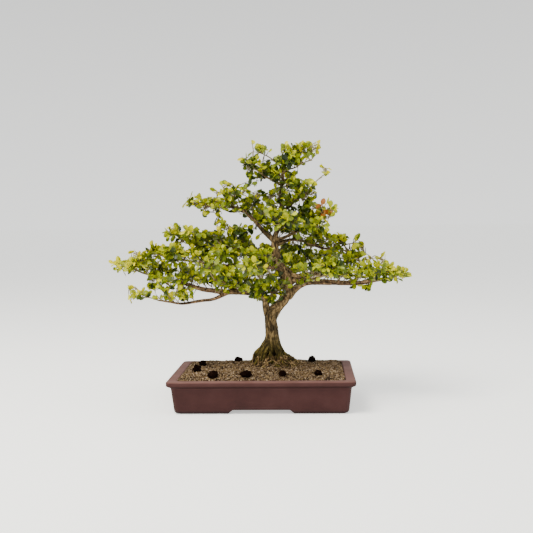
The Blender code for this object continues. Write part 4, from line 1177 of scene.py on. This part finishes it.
def leaf_colour(place, height, youth, draw):
    """height is -1 to 1 within its spray, youth 0 to 1 along its shoot."""
    for centre, reach, chance in RUSTY_PLACES:
        if (place - Vector(centre)).length < reach and draw.random() < chance:
            return np.array(RUSTY) * draw.uniform(0.6, 1.5)
    # Painted light: higher in the spray, further out and more in the open is painted brighter, deep inside
    # is painted darker as shade. Youth and chance are the leaf's own.
    out = outwardness(place)
    value = LEAF_AGE_AND_PAINTED_LIGHT["inside"] + LEAF_AGE_AND_PAINTED_LIGHT["height"] * height + LEAF_AGE_AND_PAINTED_LIGHT["youth"] * youth + LEAF_AGE_AND_PAINTED_LIGHT["outside"] * out
    value += LEAF_AGE_AND_PAINTED_LIGHT["open"] * out * openness(place)
    return ramp_colour(value + draw.gauss(0, LEAF_AGE_AND_PAINTED_LIGHT["chance"])) * draw.uniform(0.85, 1.15)


print("ramp middle:", ramp_colour(0.5).round(3))

# %% [markdown]
# ## Shoots
#
# Boxwood leaves grow in opposite pairs, each pair turned a quarter round from the last. A shoot
# is therefore a short twig, a list of pairs down from its tip, and smaller, yellower leaves
# where it is youngest. The leaves' upper sides turn towards the light, which is up and outwards.

# %% Shoots
PAIR_SPACING = (0.0050, 0.0072)
TIP_PAIR_SHARE = 0.7
LEAF_LENGTHS = (0.0108, 0.0160)
LEAF_WIDTH_SHARE = (0.56, 0.74)
LEAF_REACH = 0.6
LEAF_CUPS = (-0.10, 0.34)
LEAF_CURLS = (-0.08, 0.26)
LEAF_TWISTS = (-0.5, 0.5)
YOUNG_LEAF = 0.74
YOUNG_PAIRS = 2
TIP_OPENING = (28, 42)
SIDE_OPENING = (46, 70)
BARE_STALK = 0.004
TWIG_RADII = (0.00085, 0.00045)
TWIG_SIDES = 5
TWIG_COLOUR = Vector((0.155, 0.120, 0.045))


def bent(start, middle, end, count):
    """Points on a quadratic curve."""
    shares = [i / count for i in range(count + 1)]
    return [start * (1 - t) ** 2 + middle * 2 * t * (1 - t) + end * t ** 2 for t in shares]


def twig_tint(place, relief):
    # Painted shade: a twig's grooves a little darker and its ridges a little lighter, by relief.
    return TWIG_COLOUR * (1 + 0.2 * relief)


def add_leaf(leaves, base, along, normal, size, colour, draw):
    """Adds one leaf, unless it would stick out of the crown's outline. Says whether it was added."""
    width = size * draw.uniform(*LEAF_WIDTH_SHARE)
    cup, curl, twist = (draw.uniform(*reach) for reach in (LEAF_CUPS, LEAF_CURLS, LEAF_TWISTS))
    along = along.normalized()
    if not in_outline(*seen_from_front(*(base + along * LEAF_REACH * size))):
        return False
    across = along.cross(normal).normalized()
    normal = across.cross(along)
    basis = np.array([across, along, normal])
    leaves["places"].append(leaf_places(size, width, cup, curl, twist) @ basis + np.array(base))
    leaves["colours"].append(colour[None, :] * LEAF_SHADE)
    return True


def leaf_normal(base, axis, draw):
    """A leaf's upper side faces along its twig, up, outwards and a little anywhere."""
    outward = Vector((base.x - TREE_AXIS[0], base.y - TREE_AXIS[1], 0)).normalized()
    jitter = Vector((draw.gauss(0, 1), draw.gauss(0, 1), draw.gauss(0, 1)))
    return 0.4 * axis + 0.60 * UP + 0.40 * outward + 0.65 * jitter


def add_shoot(leaves, twigs, path, middle, spread, draw, pairs):
    """A leafy twig along path, cut back to its last leaf. Says how many leaves it has.

    middle and spread are the centre and half height of the spray that it belongs to."""
    count = len(path) - 1
    kept = []
    grown = 0
    lengths = np.cumsum([0.0] + [(b - a).length for a, b in zip(path, path[1:])])
    at = lengths[-1]
    turn = draw.uniform(0, math.pi)
    for pair in range(pairs):
        if at < BARE_STALK:
            break
        i = min(int(np.searchsorted(lengths, at, side="right")) - 1, count - 1)
        share = (at - lengths[i]) / max(lengths[i + 1] - lengths[i], 1e-6)
        base = path[i].lerp(path[i + 1], min(share, 1.0))
        axis = (path[i + 1] - path[i]).normalized()
        youth = 1 - pair / max(pairs - 1, 1)
        size = draw.uniform(*LEAF_LENGTHS)
        size *= YOUNG_LEAF + (1 - YOUNG_LEAF) * min(pair, YOUNG_PAIRS) / YOUNG_PAIRS
        opening = math.radians(draw.uniform(*(SIDE_OPENING if pair else TIP_OPENING)))
        side = axis.orthogonal().normalized()
        height = (base.z - middle.z) / spread
        for half_turn in (0, math.pi):
            out = Matrix.Rotation(turn + half_turn + draw.uniform(-0.2, 0.2), 3, axis) @ side
            along = axis * math.cos(opening) + out * math.sin(opening)
            normal = leaf_normal(base, axis, draw)
            colour = leaf_colour(base, height, youth, draw)
            grown += add_leaf(leaves, base, along, normal, size, colour, draw)
        if grown and not kept:
            kept = [*path[:i + 1], base]
        turn += math.pi / 2
        at -= draw.uniform(*PAIR_SPACING) * (1 if pair else TIP_PAIR_SHARE)
    if kept:
        radii = taper(*TWIG_RADII, count)[:len(kept)]
        add_tube(twigs, kept, radii, TWIG_SIDES, seed=5.0, depth=0.05, tint=twig_tint)
    return grown


print("leaf lengths in mm:", [round(1000 * length, 1) for length in LEAF_LENGTHS])

# %% [markdown]
# ## Sprays
#
# A spray is what hangs together on one side twig: its stem leaves the limb and forks into many
# shoots that fill a flattened ball. Fibonacci's spiral spreads their tips evenly over the ball,
# far better than pure chance, which leaves holes and knots. Every spray takes the place of one
# solid spray and fills the same room. Its foot sits a little nearer the trunk than its end, as
# twigs lean outwards.

# %% A spray's foot
FOOT_SET_BACK = 0.7
FOOT_STEPS = 60
FIRST_FOOT = 0.030


def measured(route):
    """A route's places, and the lengths between them."""
    places = [Vector(place) for place in route]
    return places, [(b - a).length for a, b in zip(places, places[1:])]


def along_route(places, lengths, distance):
    for a, b, length in zip(places, places[1:], lengths):
        if distance <= length:
            return a.lerp(b, distance / length)
        distance -= length
    return places[-1]


def branchlet_foot(route, reach):
    """Where a branchlet to reach leaves its limb."""
    places, lengths = measured(route)
    steps = [sum(lengths) * i / FOOT_STEPS for i in range(FOOT_STEPS + 1)]
    nearest = min(steps, key=lambda step: (along_route(places, lengths, step) - reach).length)
    apart = (along_route(places, lengths, nearest) - reach).length
    first = min(FIRST_FOOT, nearest / 2)
    return along_route(places, lengths, max(nearest - FOOT_SET_BACK * apart, first))


print("longest limb in mm:", round(1000 * max(sum(measured(limb[3])[1]) for limb in LIMBS.values())))

# %% One spray
SPRAY_REACH = Vector((0.0175, 0.0175, 0.0095))
SPRAY_SHOOTS = 10
SHOOT_PAIRS = (3, 4)
SHOOT_STEPS = 6
SHOOT_SIZES = (0.75, 1.1)
SHOOT_RISE = 0.18
STEM_STEPS = 8
STEM_RADIUS = 0.0013
STEM_TAPER = 0.0006
STEM_RISE = 0.10
GOLDEN_TURN = math.pi * (3 - math.sqrt(5))
SPARSE = {"top_left_twig_1": 0.4, "apex_right_1": 0.3, "right_top_2": 0.3, "left_hanging_2": 0.5,
          "left_hanging_1": 0.5, "right_shoulder_1": 0.7, "right_shoulder_2": 0.6, "right_second_1": 0.8}


def grow_spray(leaves, twigs, foot, reach, fullness, draw):
    bow = foot.lerp(reach, 0.45) + UP * STEM_RISE * (reach - foot).length
    stem = bent(foot, bow, foot.lerp(reach, 0.9), STEM_STEPS)
    radii = [STEM_RADIUS - STEM_TAPER * i / STEM_STEPS for i in range(STEM_STEPS + 1)]
    add_tube(twigs, stem, radii, sides=7, seed=9.0, depth=0.12, tint=twig_tint)
    middle = foot.lerp(reach, 0.88) + UP * 0.003
    spin = draw.uniform(0, 2 * math.pi)
    shoots = max(3, round(SPRAY_SHOOTS * fullness))
    for k in range(shoots):
        z = 1 - 2 * (k + 0.5) / shoots
        flat = math.sqrt(1 - z * z)
        angle = spin + k * GOLDEN_TURN
        way = Vector((flat * math.cos(angle), flat * math.sin(angle), z))
        size = draw.uniform(*SHOOT_SIZES) * fullness ** 0.3
        tip = middle + Vector([way[i] * SPRAY_REACH[i] * size for i in range(3)])
        start = draw.choice(stem[STEM_STEPS // 2:])
        bulge = start.lerp(tip, 0.5) + way * 0.003 + (tip - start).length * SHOOT_RISE * UP
        path = bent(start, bulge, tip, SHOOT_STEPS)
        add_shoot(leaves, twigs, path, middle, SPRAY_REACH.z, draw, draw.randint(*SHOOT_PAIRS))


print("shoots in a full spray:", SPRAY_SHOOTS, "sparse sprays:", len(SPARSE))

# %% [markdown]
# Between the sprays, short twigs leave the limb to the left, to the right and upwards in turn, so
# that each tier closes into one pad, and each twig belongs to the spray that is nearest to it.
# How wide a pad is, and how far out its limb stays bare, differs from limb to limb.

# %% Side twigs
TWIG_SPACING = 0.0078
TWIG_SWINGS = (1, -1, 0, -1, 1, 1, -1, 0)
SWING_ANGLES = (35, 85)
SIDE_RISES = (-22, 38)
UPRIGHT_RISES = (40, 70)
UPRIGHT_SHARE = 0.62
TWIG_LENGTH_SHARES = (0.55, 1.0)
LOOK_ALONG = 0.01
TWIG_STEPS = 8
TWIG_RISE = 0.14
TWIG_SPREAD = 0.012
TWIG_FORKS = (3, 5, 6)
SHORT_TWIG = 0.012
FORK_ANGLES = (35, 65)
FORK_REACH = (0.008, 0.0135)
BARE_ROOTS = {"front": 0.045, "right_low": 0.055, "left_upper": 0.050, "left_hanging": 0.060}
BARE_ROOT = 0.022
PAD_HALF_WIDTHS = {"top_left": 0.018, "top_left_twig": 0.008, "apex": 0.020, "apex_right": 0.010,
                   "right_top": 0.020, "left_hanging": 0.011, "left_upper": 0.024, "left_middle": 0.028,
                   "right_middle": 0.030}
PAD_HALF_WIDTH = 0.036


def grow_twig(leaves, twigs, start, way, length, draw):
    """A side twig straight from the limb, with leaf pairs on its outer part and up to three shoots."""
    end = start + way * length + UP * TWIG_RISE * length
    path = bent(start, start + way * length * 0.55 + UP * 0.02 * length, end, TWIG_STEPS)
    middle = start + way * length * 0.6
    pairs = max(2, int(length * 0.6 / PAIR_SPACING[1]))
    add_shoot(leaves, twigs, path, middle, TWIG_SPREAD, draw, pairs)
    turn = draw.choice((-1, 1))
    for fork in TWIG_FORKS[1:] if length < SHORT_TWIG else TWIG_FORKS:
        base = path[fork]
        swing = Matrix.Rotation(turn * math.radians(draw.uniform(*FORK_ANGLES)), 3, UP)
        side = (swing @ way + UP * draw.uniform(-0.15, 0.75)).normalized()
        reach = draw.uniform(*FORK_REACH)
        course = bent(base, base + side * reach * 0.5, base + side * reach + UP * 0.0015, 3)
        add_shoot(leaves, twigs, course, middle, TWIG_SPREAD, draw, 2)
        turn = -turn


def twig_places(route, bare_root, half_width, draw):
    """Where a limb's side twigs start, which way they go and how long they are."""
    places, lengths = measured(route)
    total = sum(lengths)
    at = min(bare_root, 0.6 * total)
    number = draw.randrange(len(TWIG_SWINGS))
    while at < total:
        before, start, after = (along_route(places, lengths, min(max(at + step, 0), total))
                                for step in (-LOOK_ALONG, 0, LOOK_ALONG))
        flat = Vector((after.x - before.x, after.y - before.y, 0)).normalized()
        turn = TWIG_SWINGS[number % len(TWIG_SWINGS)]
        swing = Matrix.Rotation(turn * math.radians(draw.uniform(*SWING_ANGLES)), 3, UP)
        rise = math.radians(draw.uniform(*(SIDE_RISES if turn else UPRIGHT_RISES)))
        way = (swing @ flat) * math.cos(rise) + UP * math.sin(rise)
        width = half_width * min(1.0, 0.40 + 1.8 * (1 - at / total)) * (1.0 if turn else UPRIGHT_SHARE)
        yield start, way, width * draw.uniform(*TWIG_LENGTH_SHARES)
        number += 1
        at += TWIG_SPACING * draw.uniform(0.8, 1.2)


some_twigs = list(twig_places(LIMBS["left_low"][3], BARE_ROOT, PAD_HALF_WIDTH, random.Random(0)))
print("side twigs on the lowest left limb:", len(some_twigs))

# %% Grow the limbs' sprays
LIMBS_SEED = 500


def nearest_spray(sprays, place):
    return min(sprays, key=lambda spray: (spray[1] - place).length)


def grow_nearest(sprays, twig, draw):
    """Grows a side twig as part of the spray that is nearest to its tip."""
    start, way, length = twig
    name, reach, leaves, twigs = nearest_spray(sprays, start + way * length)
    grow_twig(leaves, twigs, start, way, length, draw)


def grow_limb_sprays(limb, reaches, route, draw):
    """Every spray of one limb: name, reach, leaves and twigs."""
    sprays = []
    for i, reach in enumerate(reaches, start=1):
        foot = Vector(route[-1]) if i == len(reaches) else branchlet_foot(route, Vector(reach))
        name, leaves, twigs = f"{limb}_{i}", new_skin(), new_skin()
        grow_spray(leaves, twigs, foot, Vector(reach), SPARSE.get(name, 1.0), draw)
        sprays.append((name, Vector(reach), leaves, twigs))
    half_width = PAD_HALF_WIDTHS.get(limb, PAD_HALF_WIDTH)
    for twig in twig_places(route, BARE_ROOTS.get(limb, BARE_ROOT), half_width, draw):
        grow_nearest(sprays, twig, draw)
    return sprays


all_sprays = []
for number, (limb, (radius, tip_radius, reaches, route)) in enumerate(LIMBS.items()):
    all_sprays += grow_limb_sprays(limb, reaches, route, random.Random(LIMBS_SEED + number))
print("sprays:", len(all_sprays), "leaves:", sum(len(spray[2]["places"]) for spray in all_sprays))

# %% [markdown]
# ## Twigs on the trunk
#
# The trunk carries short twigs of its own inside the crown, all round it, except low on its
# front, which a gardener keeps clear so that the trunk can be seen.

# %% Twigs on the trunk
TRUNK_SEED = 77
TRUNK_TWIG_SPACING = 0.0045
TRUNK_TWIG_HEIGHTS = (0.172, 0.405)
TRUNK_TWIG_LENGTHS = (0.013, 0.025)
OPEN_FRONT_Z = 0.290


def trunk_twigs(draw):
    turn = 0.0
    for place in smooth_trunk(TRUNK_TWIG_SPACING)[0]:
        turn += GOLDEN_TURN
        way = Vector((math.cos(turn), math.sin(turn), draw.uniform(0.1, 0.7))).normalized()
        length = draw.uniform(*TRUNK_TWIG_LENGTHS)
        in_front = way.y < -0.35 and place.z < OPEN_FRONT_Z
        if TRUNK_TWIG_HEIGHTS[0] < place.z < TRUNK_TWIG_HEIGHTS[1] and not in_front:
            yield place, way, length


trunk_draw = random.Random(TRUNK_SEED)
for twig in trunk_twigs(trunk_draw):
    grow_nearest(all_sprays, twig, trunk_draw)
print("leaves:", sum(len(spray[2]["places"]) for spray in all_sprays))

# %% [markdown]
# ## Thin places
#
# Chance leaves thin places in the tiers. So the front view is divided into small cells, and every
# cell that is inside the outline and shows no leaf is an aim for one more shoot. It grows from the
# nearest wood, which a k-d tree finds quickly, and wherever along the line of sight that is, so
# that the shoots are spread over the crown's depth.

# %% Thin places
FILL_SEED = 99
FILL_ROUNDS = 3
FILL_STEP = 0.004
FILL_MOST = 4
FILL_REACH = 0.030
FILL_FROM_Z = 0.180
FILL_STEPS = 5
FILL_RISE = 0.12
FILL_DEPTHS = [0.006 * step for step in range(-12, 11)]
CELL = 0.0017
VIEW_MARGIN = 0.02
VIEW_LOW = EDGES[:, :2].min(axis=0) - VIEW_MARGIN
VIEW_CELLS = np.ceil((EDGES[:, :2].max(axis=0) + VIEW_MARGIN - VIEW_LOW) / CELL).astype(int)


def wood_places(sprays):
    """Places on the limbs, on the trunk inside the crown and on the twigs, where a twig can start."""
    places = []
    for radius, tip_radius, reaches, route in LIMBS.values():
        places += smooth_route(route, [0] * len(route), FILL_STEP)[0][2:]
    places += [place for place in smooth_trunk(FILL_STEP)[0] if place.z > FILL_FROM_Z]
    for name, reach, leaves, twigs in sprays:
        places += twigs["places"][::TWIG_SIDES]
    tree = kdtree.KDTree(len(places))
    for number, place in enumerate(places):
        tree.insert(place, number)
    tree.balance()
    return tree


def seen_cells(shape):
    """The cells of the front view that a leaf's grid of points falls in."""
    x, z = seen_from_front(*shape.T)
    return tuple(np.floor((np.array([x, z]).T - VIEW_LOW) / CELL).astype(int).T)


def fill_crown(sprays, inside, draw):
    """Grows a shoot to every place in the crown that shows no leaf, from the wood that is nearest."""
    wood = wood_places(sprays)
    covered = ~inside
    for name, reach, leaves, twigs in sprays:
        for shape in leaves["places"]:
            covered[seen_cells(shape)] = True
    aims = np.argwhere(~covered).tolist()
    draw.shuffle(aims)
    filled = 0
    for i, k in aims:
        if covered[i, k] or np.count_nonzero(covered[i - 1:i + 2, k - 1:k + 2]) > FILL_MOST:
            continue
        spot = Vector((VIEW_LOW[0] + (i + 0.5) * CELL, 0, VIEW_LOW[1] + (k + 0.5) * CELL))
        sight = [CAMERA_PLACE + (spot - CAMERA_PLACE) * (1 + depth) for depth in FILL_DEPTHS]
        start, number, away = min((wood.find(place) for place in sight), key=lambda found: found[2])
        aim = min(sight, key=lambda place: (place - start).length)
        if away > FILL_REACH:
            continue
        name, reach, leaves, twigs = nearest_spray(sprays, aim)
        before = len(leaves["places"])
        way = (aim - start).normalized() if away > 0.001 else UP
        tip = aim + way * LEAF_LENGTHS[0] * 0.4
        path = bent(start, start.lerp(tip, 0.5) + UP * FILL_RISE * away, tip, FILL_STEPS)
        pairs = min(max(round(away / PAIR_SPACING[1]), 1), 3)
        filled += add_shoot(leaves, twigs, path, start.lerp(aim, 0.6), TWIG_SPREAD, draw, pairs) > 0
        for shape in leaves["places"][before:]:
            covered[seen_cells(shape)] = True
    return filled


centres = [[VIEW_LOW + CELL * np.array([i + 0.5, k + 0.5]) for k in range(VIEW_CELLS[1])]
           for i in range(VIEW_CELLS[0])]
view_inside = np.array([[in_outline(*centre) for centre in column] for column in centres])
for step in range(FILL_ROUNDS):
    added = fill_crown(all_sprays, view_inside, random.Random(FILL_SEED + step))
    print("shoots that fill thin places:", added)

# %% [markdown]
# ## Foliage pieces
#
# Each spray becomes one mesh with two finishes, one for its leaves and one for its twigs. A
# boxwood leaf is glossy on top and lets a little light through, so its finish mixes some
# translucent light into the shader. That is what makes the sunny side of the crown glow.

# %% Foliage pieces
LEAF_MOTTLE = ((0.3, (0.82, 0.86, 0.8)), (0.7, (1.12, 1.08, 1.05)))
LIGHT_THROUGH = 0.28


def spray_mesh(name, leaves, twigs):
    count = len(leaves["places"])
    faces = (LEAF_FACES[None] + LEAF_POINTS * np.arange(count)[:, None, None]).reshape(-1, 4).tolist()
    faces += [tuple(index + LEAF_POINTS * count for index in face) for face in twigs["faces"]]
    places = np.concatenate(leaves["places"] + [np.array([p[:] for p in twigs["places"]])])
    mesh = bpy.data.meshes.new(name)
    mesh.from_pydata(places.tolist(), [], faces)
    paint(mesh, np.concatenate(leaves["colours"] + [np.array([c[:] for c in twigs["colours"]])]))
    finishes = np.zeros(len(faces), dtype=np.int32)
    finishes[count * len(LEAF_FACES):] = 1
    mesh.polygons.foreach_set("material_index", finishes)
    mesh.shade_smooth()
    return mesh


def leaf_finish():
    """Glossy, a little see-through, with the faint mottling of thick evergreen leaves."""
    finish, tree, shader = new_finish("leaves", 0.35, 0.30)
    colour = multiply(tree, painted(tree), add_ramp(tree, add_noise(tree, 500, 3), LEAF_MOTTLE))
    tree.links.new(colour, shader.inputs["Base Color"])
    add_bump(tree, shader, add_noise(tree, 1500, 2), distance=0.0001, strength=0.35)
    through = add_node(tree, "ShaderNodeBsdfTranslucent", {"Color": colour})
    inputs = {0: LIGHT_THROUGH, 1: shader.outputs[0], 2: through.outputs[0]}
    mix = add_node(tree, "ShaderNodeMixShader", inputs)
    tree.links.new(mix.outputs[0], tree.nodes["Material Output"].inputs["Surface"])
    return finish


def twig_finish():
    finish, tree, shader = new_finish("twigs", 0.7)
    tree.links.new(painted(tree), shader.inputs["Base Color"])
    return finish


looks = [leaf_finish(), twig_finish()]
for name, reach, leaves, twigs in all_sprays:
    add_piece(f"foliage_{name}", spray_mesh(name, leaves, twigs), looks, "leaves", f"spray_{name}")
print("sprays:", len(all_sprays), "leaves:", sum(len(spray[2]["places"]) for spray in all_sprays))
